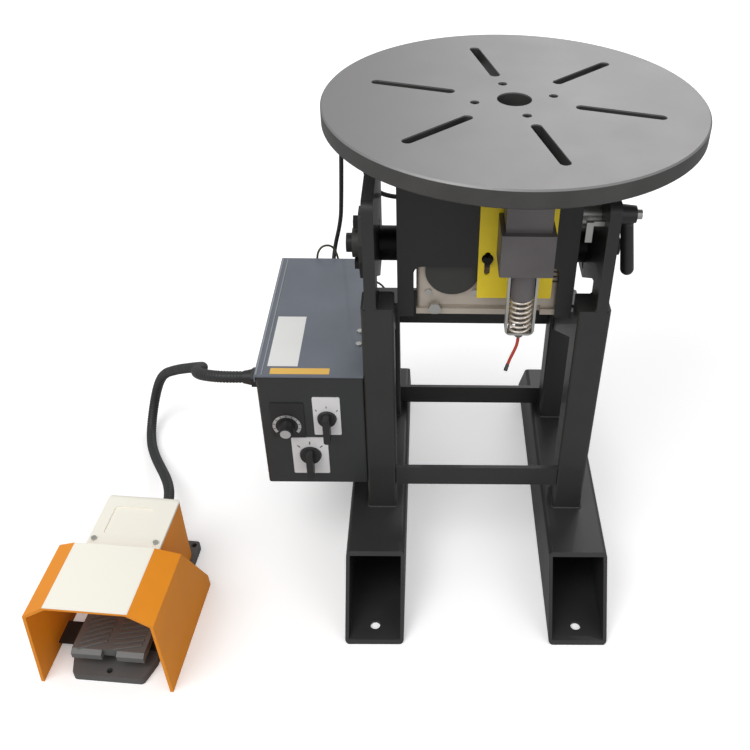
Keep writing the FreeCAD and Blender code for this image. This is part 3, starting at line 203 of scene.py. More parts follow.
class Paints:
    """Makes and keeps one procedural material for each finish."""

    FINE_DETAIL = 3.0
    BROAD_SCALE, BROAD_DETAIL = 14.0, 6.0
    RING_HEIGHT = 0.6
    BUMP_DISTANCE = 0.3 * MM
    RAMP_LOW, RAMP_HIGH = 0.3, 0.7
    SMOOTHER, ROUGHER = 0.06, 0.08
    TAB_COLOUR = (0.02, 0.02, 0.02, 1.0)

    def __init__(self) -> None:
        self._made: dict[str, bpy.types.Material] = {}
        self._group = self._grain_group()

    @staticmethod
    def _grain_group() -> bpy.types.NodeTree:
        """Make the shared group that turns a scale and a depth into a mask and a normal.

        Returns:
            The node group.
        """
        tree = bpy.data.node_groups.new("SurfaceGrain", "ShaderNodeTree")
        face = tree.interface
        scale = face.new_socket("Scale", in_out="INPUT", socket_type="NodeSocketFloat")
        scale.default_value = 400.0
        face.new_socket("Depth", in_out="INPUT", socket_type="NodeSocketFloat")
        face.new_socket("Rings", in_out="INPUT", socket_type="NodeSocketFloat")
        face.new_socket("Mask", in_out="OUTPUT", socket_type="NodeSocketFloat")
        face.new_socket("Normal", in_out="OUTPUT", socket_type="NodeSocketVector")
        links = tree.links
        given = tree.nodes.new("NodeGroupInput")
        result = tree.nodes.new("NodeGroupOutput")
        place = add_node(tree, "TexCoord")
        fine = add_node(tree, "TexNoise")
        fine.inputs["Detail"].default_value = Paints.FINE_DETAIL
        broad = add_node(tree, "TexNoise")
        broad.inputs["Scale"].default_value = Paints.BROAD_SCALE
        broad.inputs["Detail"].default_value = Paints.BROAD_DETAIL
        apart = add_node(tree, "VectorMath", "SUBTRACT")
        apart.inputs[1].default_value = (TABLE_AXIS_X, 0.0, 0.0)
        flat = add_node(tree, "VectorMath", "MULTIPLY")
        flat.inputs[1].default_value = (1.0, 1.0, 0.0)
        length = add_node(tree, "VectorMath", "LENGTH")
        turns = add_node(tree, "Math", "MULTIPLY")
        wave = add_node(tree, "Math", "SINE")
        has_rings = add_node(tree, "Math", "GREATER_THAN")
        ringed = add_node(tree, "Math", "MULTIPLY")
        height = add_node(tree, "Math", "MULTIPLY_ADD")
        height.inputs[1].default_value = Paints.RING_HEIGHT
        bump = add_node(tree, "Bump")
        bump.inputs["Distance"].default_value = Paints.BUMP_DISTANCE
        links.new(place.outputs["Object"], fine.inputs["Vector"])
        links.new(place.outputs["Object"], broad.inputs["Vector"])
        links.new(given.outputs["Scale"], fine.inputs["Scale"])
        links.new(place.outputs["Object"], apart.inputs[0])
        links.new(apart.outputs[0], flat.inputs[0])
        links.new(flat.outputs[0], length.inputs[0])
        links.new(length.outputs["Value"], turns.inputs[0])
        links.new(given.outputs["Rings"], turns.inputs[1])
        links.new(turns.outputs[0], wave.inputs[0])
        links.new(given.outputs["Rings"], has_rings.inputs[0])
        links.new(wave.outputs[0], ringed.inputs[0])
        links.new(has_rings.outputs[0], ringed.inputs[1])
        links.new(ringed.outputs[0], height.inputs[0])
        links.new(fine.outputs["Fac"], height.inputs[2])
        links.new(height.outputs[0], bump.inputs["Height"])
        links.new(given.outputs["Depth"], bump.inputs["Strength"])
        links.new(broad.outputs["Fac"], result.inputs["Mask"])
        links.new(bump.outputs["Normal"], result.inputs["Normal"])
        return tree

    def get(self, name: str) -> bpy.types.Material:
        """Give the material of one finish, made the first time it is asked for.

        Args:
            name: Name of the finish.

        Returns:
            The material.
        """
        if name not in self._made:
            self._made[name] = self._build(name, FINISHES.get(name) or EXTRA[name])
        return self._made[name]

    def _build(self, name: str, finish: Finish) -> bpy.types.Material:
        """Build one Principled material.

        Args:
            name: Name of the material.
            finish: Its look.

        Returns:
            The material.
        """
        material = bpy.data.materials.new(name)
        material.use_nodes = True
        tree, links = material.node_tree, material.node_tree.links
        shader = tree.nodes["Principled BSDF"]
        shader.inputs["Metallic"].default_value = finish.metallic
        shader.inputs["Coat Weight"].default_value = finish.coat
        grain = add_node(tree, "Group")
        grain.node_tree = self._group
        grain.inputs["Scale"].default_value = finish.grain
        grain.inputs["Depth"].default_value = finish.depth
        grain.inputs["Rings"].default_value = finish.rings
        ramp = add_node(tree, "ValToRGB")
        low, high = ramp.color_ramp.elements
        low.position, high.position = self.RAMP_LOW, self.RAMP_HIGH
        low.color = (*(part * (1 - finish.tint) for part in finish.colour), 1.0)
        high.color = (*(min(1.0, part * (1 + finish.tint)) for part in finish.colour), 1.0)
        rough = add_node(tree, "MapRange")
        rough.inputs["To Min"].default_value = finish.roughness - self.SMOOTHER
        rough.inputs["To Max"].default_value = finish.roughness + self.ROUGHER
        links.new(grain.outputs["Mask"], ramp.inputs["Fac"])
        colour = ramp.outputs["Color"]
        if finish.zone:
            colour = self._zoned(tree, colour, finish.zone)
        links.new(colour, shader.inputs["Base Color"])
        links.new(grain.outputs["Mask"], rough.inputs["Value"])
        links.new(rough.outputs["Result"], shader.inputs["Roughness"])
        links.new(grain.outputs["Normal"], shader.inputs["Normal"])
        return material

    @staticmethod
    def _zoned(tree: bpy.types.NodeTree, colour: Any, zone: Zone) -> Any:
        """Lay a second colour over part of a piece.

        Args:
            tree: The material's nodes.
            colour: Socket of the first colour.
            zone: The second colour and where it is.

        Returns:
            Socket of the joined colour.
        """
        links = tree.links
        place = add_node(tree, "TexCoord")
        parts = add_node(tree, "SeparateXYZ")
        links.new(place.outputs["Object"], parts.inputs[0])
        over = add_node(tree, "Math", "GREATER_THAN")
        over.inputs[1].default_value = zone.above
        links.new(parts.outputs["Z"], over.inputs[0])
        mix = add_node(tree, "Mix")
        mix.data_type = "RGBA"
        mix.inputs["B"].default_value = (*zone.colour, 1.0)
        links.new(colour, mix.inputs["A"])
        links.new(over.outputs[0], mix.inputs["Factor"])
        if zone.across is None:
            return mix.outputs["Result"]
        middle = add_node(tree, "VectorMath", "SUBTRACT")
        middle.inputs[1].default_value = (TOE.x, TOE.y, 0.0)
        links.new(place.outputs["Object"], middle.inputs[0])
        side = add_node(tree, "VectorMath", "DOT_PRODUCT")
        side.inputs[1].default_value = (math.cos(TURN), math.sin(TURN), 0.0)
        links.new(middle.outputs[0], side.inputs[0])
        away = add_node(tree, "Math", "ABSOLUTE")
        links.new(side.outputs["Value"], away.inputs[0])
        inside = add_node(tree, "Math", "LESS_THAN")
        inside.inputs[1].default_value = zone.across
        links.new(away.outputs[0], inside.inputs[0])
        low = add_node(tree, "Math", "LESS_THAN")
        low.inputs[1].default_value = GUARD_TAB_TOP
        links.new(parts.outputs["Z"], low.inputs[0])
        both = add_node(tree, "Math", "MULTIPLY")
        links.new(inside.outputs[0], both.inputs[0])
        links.new(low.outputs[0], both.inputs[1])
        dark = add_node(tree, "Mix")
        dark.data_type = "RGBA"
        dark.inputs["B"].default_value = Paints.TAB_COLOUR
        links.new(mix.outputs["Result"], dark.inputs["A"])
        links.new(both.outputs[0], dark.inputs["Factor"])
        return dark.outputs["Result"]


class Maker:
    """Makes finished mesh pieces and sets them riding on their bodies."""

    def __init__(self, paints: Paints) -> None:
        self.paints = paints

    def finish(self, name: str, mesh: bmesh.types.BMesh, paint: str, body: Optional[Body],
               slot: Optional[str] = None, smooth: bool = False) -> bpy.types.Object:
        """Turn a bmesh into a piece at the origin that rides on a body.

        Args:
            name: Name of the piece.
            mesh: Its shape in the row frame, in metres. It is freed.
            paint: Name of its finish.
            body: The body it rides on, or none for a piece left on no body.
            slot: The record's material slot, where it has one. Not used.
            smooth: Whether its faces are shaded smooth.

        Returns:
            The new object.
        """
        bmesh.ops.recalc_face_normals(mesh, faces=mesh.faces[:])
        data = bpy.data.meshes.new(name)
        mesh.to_mesh(data)
        mesh.free()
        for face in data.polygons:
            face.use_smooth = smooth
        piece = bpy.data.objects.new(name, data)
        bpy.context.scene.collection.objects.link(piece)
        data.materials.append(self.paints.get(paint))
        if body is not None:
            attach(piece, body.value)
        return piece

    @staticmethod
    def add_block(mesh: bmesh.types.BMesh, low: Sequence[float], high: Sequence[float],
                  edge: float = 0.0, turn: Optional[Matrix] = None) -> None:
        """Add a block with bevelled edges.

        Args:
            mesh: The mesh to add to.
            low: Lowest corner, mm.
            high: Highest corner, mm.
            edge: Width of the bevel, mm.
            turn: Transform from the block's own frame to the row frame, in metres.
        """
        size = [(top - base) * MM for base, top in zip(low, high)]
        centre = Vector([(top + base) / 2 * MM for base, top in zip(low, high)])
        matrix = Matrix.Translation(centre) @ Matrix.Diagonal((*size, 1.0))
        made = bmesh.ops.create_cube(mesh, size=1.0, matrix=matrix)["verts"]
        if edge:
            edges = list({one for vert in made for one in vert.link_edges})
            bevelled = bmesh.ops.bevel(mesh, geom=edges, offset=edge * MM, segments=2,
                                       profile=0.5, affect="EDGES", material=-1)
            made = list({vert for vert in made if vert.is_valid} | set(bevelled["verts"]))
        if turn is not None:
            bmesh.ops.transform(mesh, matrix=turn, verts=made)


@dataclass(frozen=True)
class Route:
    """A cord's corner points, in mm, rounded by the same rule as the solids."""

    points: tuple[Point, ...]
    share: float = 0.45

    def line(self, step: float = 3.0) -> list[Vector]:
        """Sample the rounded centreline.

        Args:
            step: Largest distance between samples, mm.

        Returns:
            Points in metres.
        """
        spots = [Vector(point) for point in self.points]
        line = [spots[0]]

        def run_to(end: Vector) -> None:
            """Add samples of a straight run.

            Args:
                end: Where the run ends, mm.
            """
            start = line[-1]
            count = max(1, math.ceil((end - start).length / step))
            line.extend(start.lerp(end, number / count) for number in range(1, count + 1))

        for before, corner, after in zip(spots, spots[1:], spots[2:]):
            into, out = corner - before, after - corner
            reach = self.share * min(into.length, out.length)
            into.normalize()
            out.normalize()
            turn = into.angle(out)
            enter, leave = corner - into * reach, corner + out * reach
            run_to(enter)
            if turn < STRAIGHT_ANGLE:
                run_to(leave)
                continue
            radius = reach / math.tan(turn / 2)
            inward = (out - into).normalized()
            centre = corner + inward * math.hypot(radius, reach)
            arm = enter - centre
            axis = into.cross(out).normalized()
            count = max(2, math.ceil(radius * turn / step))
            line.extend(centre + Matrix.Rotation(turn * number / count, 3, axis) @ arm
                        for number in range(1, count + 1))
        run_to(spots[-1])
        return [point * MM for point in line]

    def length(self) -> float:
        """Length of the rounded centreline.

        Returns:
            Metres.
        """
        line = self.line(1.0)
        return sum((there - here).length for here, there in zip(line, line[1:]))


CONDUIT = Route((
    (-312.0, -88.0, 314.0), (-343.0, -88.0, 314.0), (-370.1, -74.1, 305.9),
    (-384.9, -50.5, 291.5), (-388.9, -23.7, 274.0), (-392.3, 2.8, 255.9),
    (-399.4, 27.7, 237.3), (-411.1, 50.8, 218.7), (-426.5, 72.0, 200.7),
    (-444.3, 91.7, 183.2), (-462.5, 110.8, 165.7), (-480.4, 129.3, 147.3),
    (-497.4, 148.0, 128.2), (-512.7, 164.5, 105.9), (-525.9, 175.3, 79.4),
    (-536.0, 174.2, 50.5), (-541.0, 158.2, 24.9), (-539.7, 131.8, 9.6),
    (-531.5, 101.8, 8.4), (-518.8, 72.8, 12.5), (-504.3, 45.3, 19.2),
    (-489.6, 18.4, 27.4), (-475.7, -9.0, 35.6), (-464.8, -38.0, 42.2),
    (-459.53, -69.52, 46.0), (-462.23, -100.4, 46.0),
))
CABLE = Route((
    (-222, 184, 288), (-222, 206, 288), (-221, 227, 300), (-218, 239, 321), (-211, 238, 349),
    (-205, 224, 381), (-201, 207, 425), (-198, 198, 472), (-196.4, 194.5, 502.5),
    (-190.3, 183, 525), (-179.4, 162, 536), (-167.5, 139.3, 531.4), (-159, 123, 513),
    (-153, 117, 492), (-138.3, 119, 476), (-117, 120, 470), (-95, 120, 470),
))
BOND = Route((
    (-240, 171, 316), (-240, 171, 334), (-237, 172, 350), (-228, 173, 359), (-216, 175, 357),
    (-210, 177, 344), (-207, 177, 326), (-198, 177, 311), (-181, 177, 300), (-162, 175, 297),
    (-144, 166, 296), (-134, 149, 294), (-131, 131, 288), (-132, 123, 272), (-132, 123, 256),
))
LEAD = Route((
    (41, -119.5, 410), (41, -119.5, 398), (37, -121, 386), (32, -122, 373), (29, -122, 360),
))


class Cords:
    """Makes the cords that stand for the plain tubes of the solids."""

    CONDUIT_RADIUS = 8.0 * MM
    CONDUIT_SIDES = 20
    CONDUIT_STEP = 1.05
    RIB_DEPTH, RIB_PITCH = 0.75 * MM, 4.2 * MM
    RIB_SHAPE = 0.6
    CABLE_RADIUS = 3.25 * MM
    CABLE_SIDES = 16
    BOND_DIAMETER = 3.2 * MM
    LEAD_DIAMETER = 4.0 * MM
    CRIMP_FOOT, CRIMP_TOP, CRIMP_LENGTH = 2.6 * MM, 2.1 * MM, 11 * MM
    CRIMP_PLACE = 0.2
    STEEP = 0.9

    def __init__(self, maker: Maker) -> None:
        self.maker = maker

    def nurbs(self, name: str, node: str, route: Route, diameter: float, paint: str, body: Body) -> bpy.types.Object:
        """Make a smooth round cord as a NURBS curve.

        Args:
            name: Name of the piece.
            node: The solid it stands for.
            route: Its way.
            diameter: Its diameter, m.
            paint: Its finish.
            body: The body it rides on.

        Returns:
            The curve object.
        """
        curve = bpy.data.curves.new(name, "CURVE")
        curve.dimensions = "3D"
        curve.bevel_depth = diameter / 2
        curve.bevel_resolution = 4
        curve.resolution_u = 10
        curve.use_fill_caps = True
        spline = curve.splines.new("NURBS")
        spline.points.add(len(route.points) - 1)
        for knot, point in zip(spline.points, route.points):
            knot.co = (*(part * MM for part in point), 1.0)
        spline.order_u = 3
        spline.use_endpoint_u = True
        piece = bpy.data.objects.new(name, curve)
        bpy.context.scene.collection.objects.link(piece)
        curve.materials.append(self.maker.paints.get(paint))
        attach(piece, body.value)
        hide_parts(node)
        route.length()
        return piece

    @staticmethod
    def tube(line: Sequence[Vector], radius: float, sides: int, rib: float = 0.0,
             pitch: float = 1.0) -> bmesh.types.BMesh:
        """Sweep a round section along a line, smooth or in ribs.

        Args:
            line: The centreline, m.
            radius: Outer radius, m.
            sides: Corners of the section.
            rib: Depth of the ribs, m.
            pitch: Distance from rib to rib, m.

        Returns:
            The closed tube.
        """
        mesh = bmesh.new()
        rings = []
        travelled = 0.0
        side = Vector((0, 0, 1))
        if abs((line[1] - line[0]).normalized().z) > Cords.STEEP:
            side = Vector((1, 0, 0))
        for index, point in enumerate(line):
            ahead = line[min(index + 1, len(line) - 1)] - line[max(index - 1, 0)]
            ahead.normalize()
            side = (side - ahead * side.dot(ahead)).normalized()
            up = ahead.cross(side)
            if index:
                travelled += (point - line[index - 1]).length
            wave = 0.5 + 0.5 * math.cos(2 * math.pi * travelled / pitch)
            size = radius - rib * (1 - wave ** Cords.RIB_SHAPE)
            rings.append([mesh.verts.new(point + (side * math.cos(turn) + up * math.sin(turn))
                                         * size)
                          for turn in (2 * math.pi * step / sides for step in range(sides))])
        for here, there in zip(rings, rings[1:]):
            for step in range(sides):
                after = (step + 1) % sides
                mesh.faces.new((here[step], here[after], there[after], there[step]))
        mesh.faces.new(rings[0])
        mesh.faces.new(rings[-1])
        return mesh

    def conduit(self) -> bpy.types.Object:
        """Make the ribbed conduit between the control box and the foot switch.

        Returns:
            The mesh object.
        """
        radius = self.CONDUIT_RADIUS
        line = CONDUIT.line(self.CONDUIT_STEP)
        mesh = self.tube(line, radius, self.CONDUIT_SIDES, self.RIB_DEPTH, self.RIB_PITCH)
        piece = self.maker.finish("ribbed_conduit", mesh, "conduit_plastic", Body.BASE,
                                  smooth=True)
        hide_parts("conduit")
        CONDUIT.length()
        return piece

    def motor_cable(self) -> bpy.types.Object:
        """Make the motor's cable.

        Returns:
            The mesh object.
        """
        radius = self.CABLE_RADIUS
        line = CABLE.line()
        mesh = self.tube(line, radius, self.CABLE_SIDES)
        piece = self.maker.finish("motor_supply_cable", mesh, "rubber", None, smooth=True)
        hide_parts("motor_cable")
        CABLE.length()
        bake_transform(piece)
        return piece

    def build(self) -> None:
        """Make all four cords."""
        self.conduit()
        self.motor_cable()
        self.nurbs("bonding_wire", "bond_wire", BOND, self.BOND_DIAMETER, "green_yellow",
                   Body.BASE)
        end, before = (Vector(LEAD.points[number]) * MM for number in (-1, -2))
        mesh = bmesh.new()
        bmesh.ops.create_cone(mesh, cap_ends=True, segments=20, radius1=self.CRIMP_FOOT,
                              radius2=self.CRIMP_TOP, depth=self.CRIMP_LENGTH)
        aim = (before - end).to_track_quat("Z", "Y").to_matrix().to_4x4()
        middle = Matrix.Translation(end.lerp(before, self.CRIMP_PLACE))
        bmesh.ops.transform(mesh, matrix=middle @ aim, verts=mesh.verts[:])
        crimp = self.maker.finish("lead_crimp", mesh, "crimp_metal", Body.BRUSH, slot="zinc")
        self.nurbs("earth_lead", "brush_lead", LEAD, self.LEAD_DIAMETER, "red_sleeve",
                   Body.BRUSH)


class Springs:
    """Coils that take the place of the solid springs."""

    PEDAL_PIVOT = 100.0
    PEDAL_COIL_FRONT = 54.0
    PEDAL_PRESS = math.radians(4)
    BRUSH_TRAVEL = 6.0
    MERGE = 0.001 * MM

    def __init__(self, maker: Maker) -> None:
        self.maker = maker

    def shorten(self, node: str, body: Body) -> None:
        """Replace a solid coil with a copy of it in spring steel.

        Args:
            node: The CAD node.
            body: The body it stands on.
        """
        mesh = bmesh.new()
        mesh.from_mesh(frame["nodes"][node].data)
        bmesh.ops.remove_doubles(mesh, verts=mesh.verts[:], dist=self.MERGE)
        coil = self.maker.finish(f"{node}_coil", mesh, "spring_steel", body, slot="zinc",
                                 smooth=True)
        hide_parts(node)
        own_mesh(coil)

    def build(self) -> None:
        """Make both coils."""
        self.shorten("brush_spring", Body.HEAD)
        self.shorten("pedal_spring", Body.BASE)


class Details:
    """Small flat and raised details on top of the solids. Sizes are in mm."""

    # Name, lowest and highest corner in X and Y, and finish of each label.
    LABELS = (("lid_label", (-277, -97), (-238, 13), "label_white"),
              ("lid_strip", (-272, -113), (-196, -101), "label_yellow"))
    LABEL_THICK = 0.15
    # Distance from the lid's edge and width of each fold.
    HEM_FOLDS = ((1.5, 2.0), (9.0, 1.4))
    HEM_SETBACK, HEM_HIGH, HEM_EDGE = 3, 0.8, 0.3
    TICK_THICK = 0.12
    ARC_STEPS, ARC_THICK = 48, 0.1
    SPEED_START, SPEED_END, SPEED_MARKS = -40, 220, 11
    SWITCH_ANGLES = (45, 90, 135)
    CAP_RADIUS, CAP_THICK = 7.0, 0.3
    RIBS, RIB_FIRST, RIB_PITCH = 8, 33, 8.0
    TREAD_START, TREAD_LONG, TREAD_FALL, TREAD_HIGH = 26, 82, 2.5, 42
    # Side and lean in degrees of the two halves of a rib, and their distance from the middle.
    RIB_HALVES = ((-1, 24), (1, 14))
    RIB_OFFSET = 23
    RIB_LOW, RIB_HIGH, RIB_EDGE = (-19, -1.9, -0.6), (19, 1.9, 1.7), 0.6
    BEAD_SIDES, BEAD_STEP = 8, 0.9
    BEAD_MEAN, BEAD_RIPPLE, BEAD_RATE, BEAD_DRIFT, BEAD_END = 0.86, 0.14, 1.9, 0.37, 0.6
    THIN_BEAD = 1.8
    POST_MIDDLE, POST_WIDE = 132, 40
    POST_FRONTS = (-118, 78)
    FOOT_TOP, POST_TOP = 100, 445
    CROSSBAR_LEVELS = (147, 179)
    CROSSBAR_FACE = -112
    SIDE_PLATE_FACES = (133, 147)
    REAR_BAR_BOTTOM, REAR_BAR_TOP = 262, 318

    def __init__(self, maker: Maker) -> None:
        self.maker = maker

    def stickers(self) -> None:
        """Plain labels on the lid."""
        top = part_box("control_box_lid")[1].z / MM
        for name, low, high, paint in self.LABELS:
            mesh = bmesh.new()
            self.maker.add_block(mesh, (*low, top), (*high, top + self.LABEL_THICK))
            self.maker.finish(name, mesh, paint, Body.BASE, slot="plate_metal")

    def lid_hem_and_highlight(self) -> None:
        """A folded hem along the lid's left edge, whose light grey is a painted highlight."""
        low, high = (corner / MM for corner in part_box("control_box_lid"))
        mesh = bmesh.new()
        for start, wide in self.HEM_FOLDS:
            self.maker.add_block(mesh, (low.x + start, low.y + self.HEM_SETBACK, high.z),
                                 (low.x + start + wide, high.y - self.HEM_SETBACK,
                                  high.z + self.HEM_HIGH), self.HEM_EDGE)
        self.maker.finish("lid_hem_and_highlight", mesh, "hem_painted_highlight", Body.BASE, slot="box_paint")

    def ticks(self, name: str, centre: tuple[float, float], face: float, inner: float,
              outer: float, angles: Sequence[float], wide: float, paint: str) -> None:
        """Radial marks on a front plate.

        Args:
            name: Name of the piece.
            centre: X and Z of the dial's middle, mm.
            face: Y of the plate's face, mm.
            inner: Inner radius, mm.
            outer: Outer radius, mm.
            angles: Directions in degrees from +X, towards +Z.
            wide: Width of a mark, mm.
            paint: Finish.
        """
        mesh = bmesh.new()
        for angle in angles:
            turn = (Matrix.Translation((centre[0] * MM, face * MM, centre[1] * MM))
                    @ Matrix.Rotation(-math.radians(angle), 4, "Y"))
            self.maker.add_block(mesh, (inner, -self.TICK_THICK, -wide / 2),
                                 (outer, 0, wide / 2), turn=turn)
        self.maker.finish(name, mesh, paint, Body.BASE, slot="black_plastic")

    def arc(self, name: str, centre: tuple[float, float], face: float, inner: float,
            outer: float, start: float, end: float, paint: str) -> None:
        """A flat arc band on a front plate.

        Args:
            name: Name of the piece.
            centre: X and Z of the middle, mm.
            face: Y of the plate's face, mm.
            inner: Inner radius, mm.
            outer: Outer radius, mm.
            start: First direction, degrees.
            end: Last direction, degrees.
            paint: Finish.
        """
        mesh = bmesh.new()
        back = face - self.ARC_THICK
        rows = []
        for number in range(self.ARC_STEPS + 1):
            turn = math.radians(start + (end - start) * number / self.ARC_STEPS)
            rows.append([mesh.verts.new(((centre[0] + size * math.cos(turn)) * MM, deep * MM,
                                         (centre[1] + size * math.sin(turn)) * MM))
                         for size, deep in ((inner, face), (outer, face), (outer, back),
                                            (inner, back))])
        for here, there in zip(rows, rows[1:]):
            for step in range(4):
                after = (step + 1) % 4
                mesh.faces.new((here[step], here[after], there[after], there[step]))
        mesh.faces.new(rows[0])
        mesh.faces.new(rows[-1])
        self.maker.finish(name, mesh, paint, Body.BASE, slot="plate_metal")

    def panel(self) -> None:
        """Scales on the control box's front plates and the cap on the speed knob."""
        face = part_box("speed_dial_plate")[0].y / MM
        self.arc("speed_arc", SPEED_DIAL, face, 15.0, 19.0, self.SPEED_START, self.SPEED_END,
                 "silver")
        between = (self.SPEED_END - self.SPEED_START) / (self.SPEED_MARKS - 1)
        self.ticks("speed_ticks", SPEED_DIAL, face - self.ARC_THICK, 15.6, 18.4,
                   [self.SPEED_START + between * step for step in range(self.SPEED_MARKS)],
                   0.9, "ink")
        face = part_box("switch_plates")[0].y / MM
        for name, dial, inner, outer, wide in (("upper_ticks", UPPER_DIAL, 18.0, 21.0, 1.2),
                                               ("lower_ticks", LOWER_DIAL, 19.0, 24.0, 1.4)):
            self.ticks(name, dial, face, inner, outer, self.SWITCH_ANGLES, wide, "ink")
        low, high = (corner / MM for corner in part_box("speed_knob"))
        radius = self.CAP_RADIUS * MM
        place = Vector(((low.x + high.x) / 2, low.y - self.CAP_THICK / 2,
                        (low.z + high.z) / 2)) * MM
        mesh = bmesh.new()
        bmesh.ops.create_cone(mesh, cap_ends=True, segments=32, radius1=radius, radius2=radius,
                              depth=self.CAP_THICK * MM)
        bmesh.ops.transform(mesh, verts=mesh.verts[:], matrix=Matrix.Translation(place)
                            @ Matrix.Rotation(math.pi / 2, 4, "X"))
        self.maker.finish("speed_cap", mesh, "silver", Body.SPEED, slot="zinc")

    def tread(self) -> None:
        """Raised ribs across the foot switch's tread."""
        turn = Matrix.Translation(TOE) @ Matrix.Rotation(TURN, 4, "Z")
        mesh = bmesh.new()
        slope = math.atan2(-self.TREAD_FALL, self.TREAD_LONG)
        for number in range(self.RIBS):
            along = self.RIB_FIRST + self.RIB_PITCH * number
            rise = (self.TREAD_HIGH
                    - self.TREAD_FALL * (along - self.TREAD_START) / self.TREAD_LONG)
            base = (turn @ Matrix.Translation((0, along * MM, rise * MM))
                    @ Matrix.Rotation(slope, 4, "X"))
            for side, tip in self.RIB_HALVES:
                lean = (base @ Matrix.Translation((side * self.RIB_OFFSET * MM, 0, 0))
                        @ Matrix.Rotation(math.radians(tip), 4, "Z"))
                self.maker.add_block(mesh, self.RIB_LOW, self.RIB_HIGH, self.RIB_EDGE, lean)
        self.maker.finish("tread_ribs", mesh, "grey_plastic", Body.PEDAL)

    def bead(self, mesh: bmesh.types.BMesh, points: Sequence[Point], size: float = 2.4) -> None:
        """Add one rippled weld bead along corner points.

        Args:
            mesh: The mesh to add to.
            points: Corners of the seam, mm.
            size: Radius of the bead, mm.
        """
        sides = self.BEAD_SIDES
        for start, end in zip(points, points[1:]):
            here, there = Vector(start), Vector(end)
            ahead = (there - here).normalized()
            side = ahead.orthogonal().normalized()
            up = ahead.cross(side)
            count = max(2, int((there - here).length / self.BEAD_STEP))
            rings = []
            for index in range(count + 1):
                point = here.lerp(there, index / count)
                phase = index * self.BEAD_RATE + math.sin(index * self.BEAD_DRIFT)
                radius = size * (self.BEAD_MEAN + self.BEAD_RIPPLE * math.cos(phase))
                if index in (0, count):
                    radius *= self.BEAD_END
                rings.append([mesh.verts.new((point + (side * math.cos(angle)
                                                       + up * math.sin(angle)) * radius) * MM)
                              for angle in (2 * math.pi * step / sides
                                            for step in range(sides))])
            for one, two in zip(rings, rings[1:]):
                for step in range(sides):
                    after = (step + 1) % sides
                    mesh.faces.new((one[step], one[after], two[after], two[step]))
            mesh.faces.new(rings[0])
            mesh.faces.new(rings[-1])

    def welds(self) -> None:
        """Weld beads where posts meet feet, plates and crossbars."""
        mesh = bmesh.new()
        half, foot = self.POST_WIDE / 2, self.FOOT_TOP
        for middle in (-self.POST_MIDDLE, self.POST_MIDDLE):
            for front in self.POST_FRONTS:
                low_x, high_x, back = middle - half, middle + half, front + self.POST_WIDE
                self.bead(mesh, [(low_x, front, foot), (high_x, front, foot),
                                 (high_x, back, foot), (low_x, back, foot),
                                 (low_x, front, foot)])
        front, rear = self.POST_FRONTS[0], self.POST_FRONTS[1] + self.POST_WIDE
        top, inner = self.POST_TOP, self.POST_MIDDLE - half
        for side in (-1, 1):
            for level in self.CROSSBAR_LEVELS:
                self.bead(mesh, [(side * inner, front, level),
                                 (side * inner, self.CROSSBAR_FACE, level)], self.THIN_BEAD)
            for across in self.SIDE_PLATE_FACES:
                self.bead(mesh, [(side * across, front, top),
                                 (side * across, front + self.POST_WIDE, top)])
            self.bead(mesh, [(side * inner, rear, self.REAR_BAR_BOTTOM),
                             (side * inner, rear, self.REAR_BAR_TOP)], self.THIN_BEAD)
        self.maker.finish("weld_beads", mesh, "frame_paint", Body.BASE, smooth=True)

    def build(self) -> None:
        """Add every detail."""
        self.stickers()
        self.lid_hem_and_highlight()
        self.panel()
        self.tread()
        self.welds()


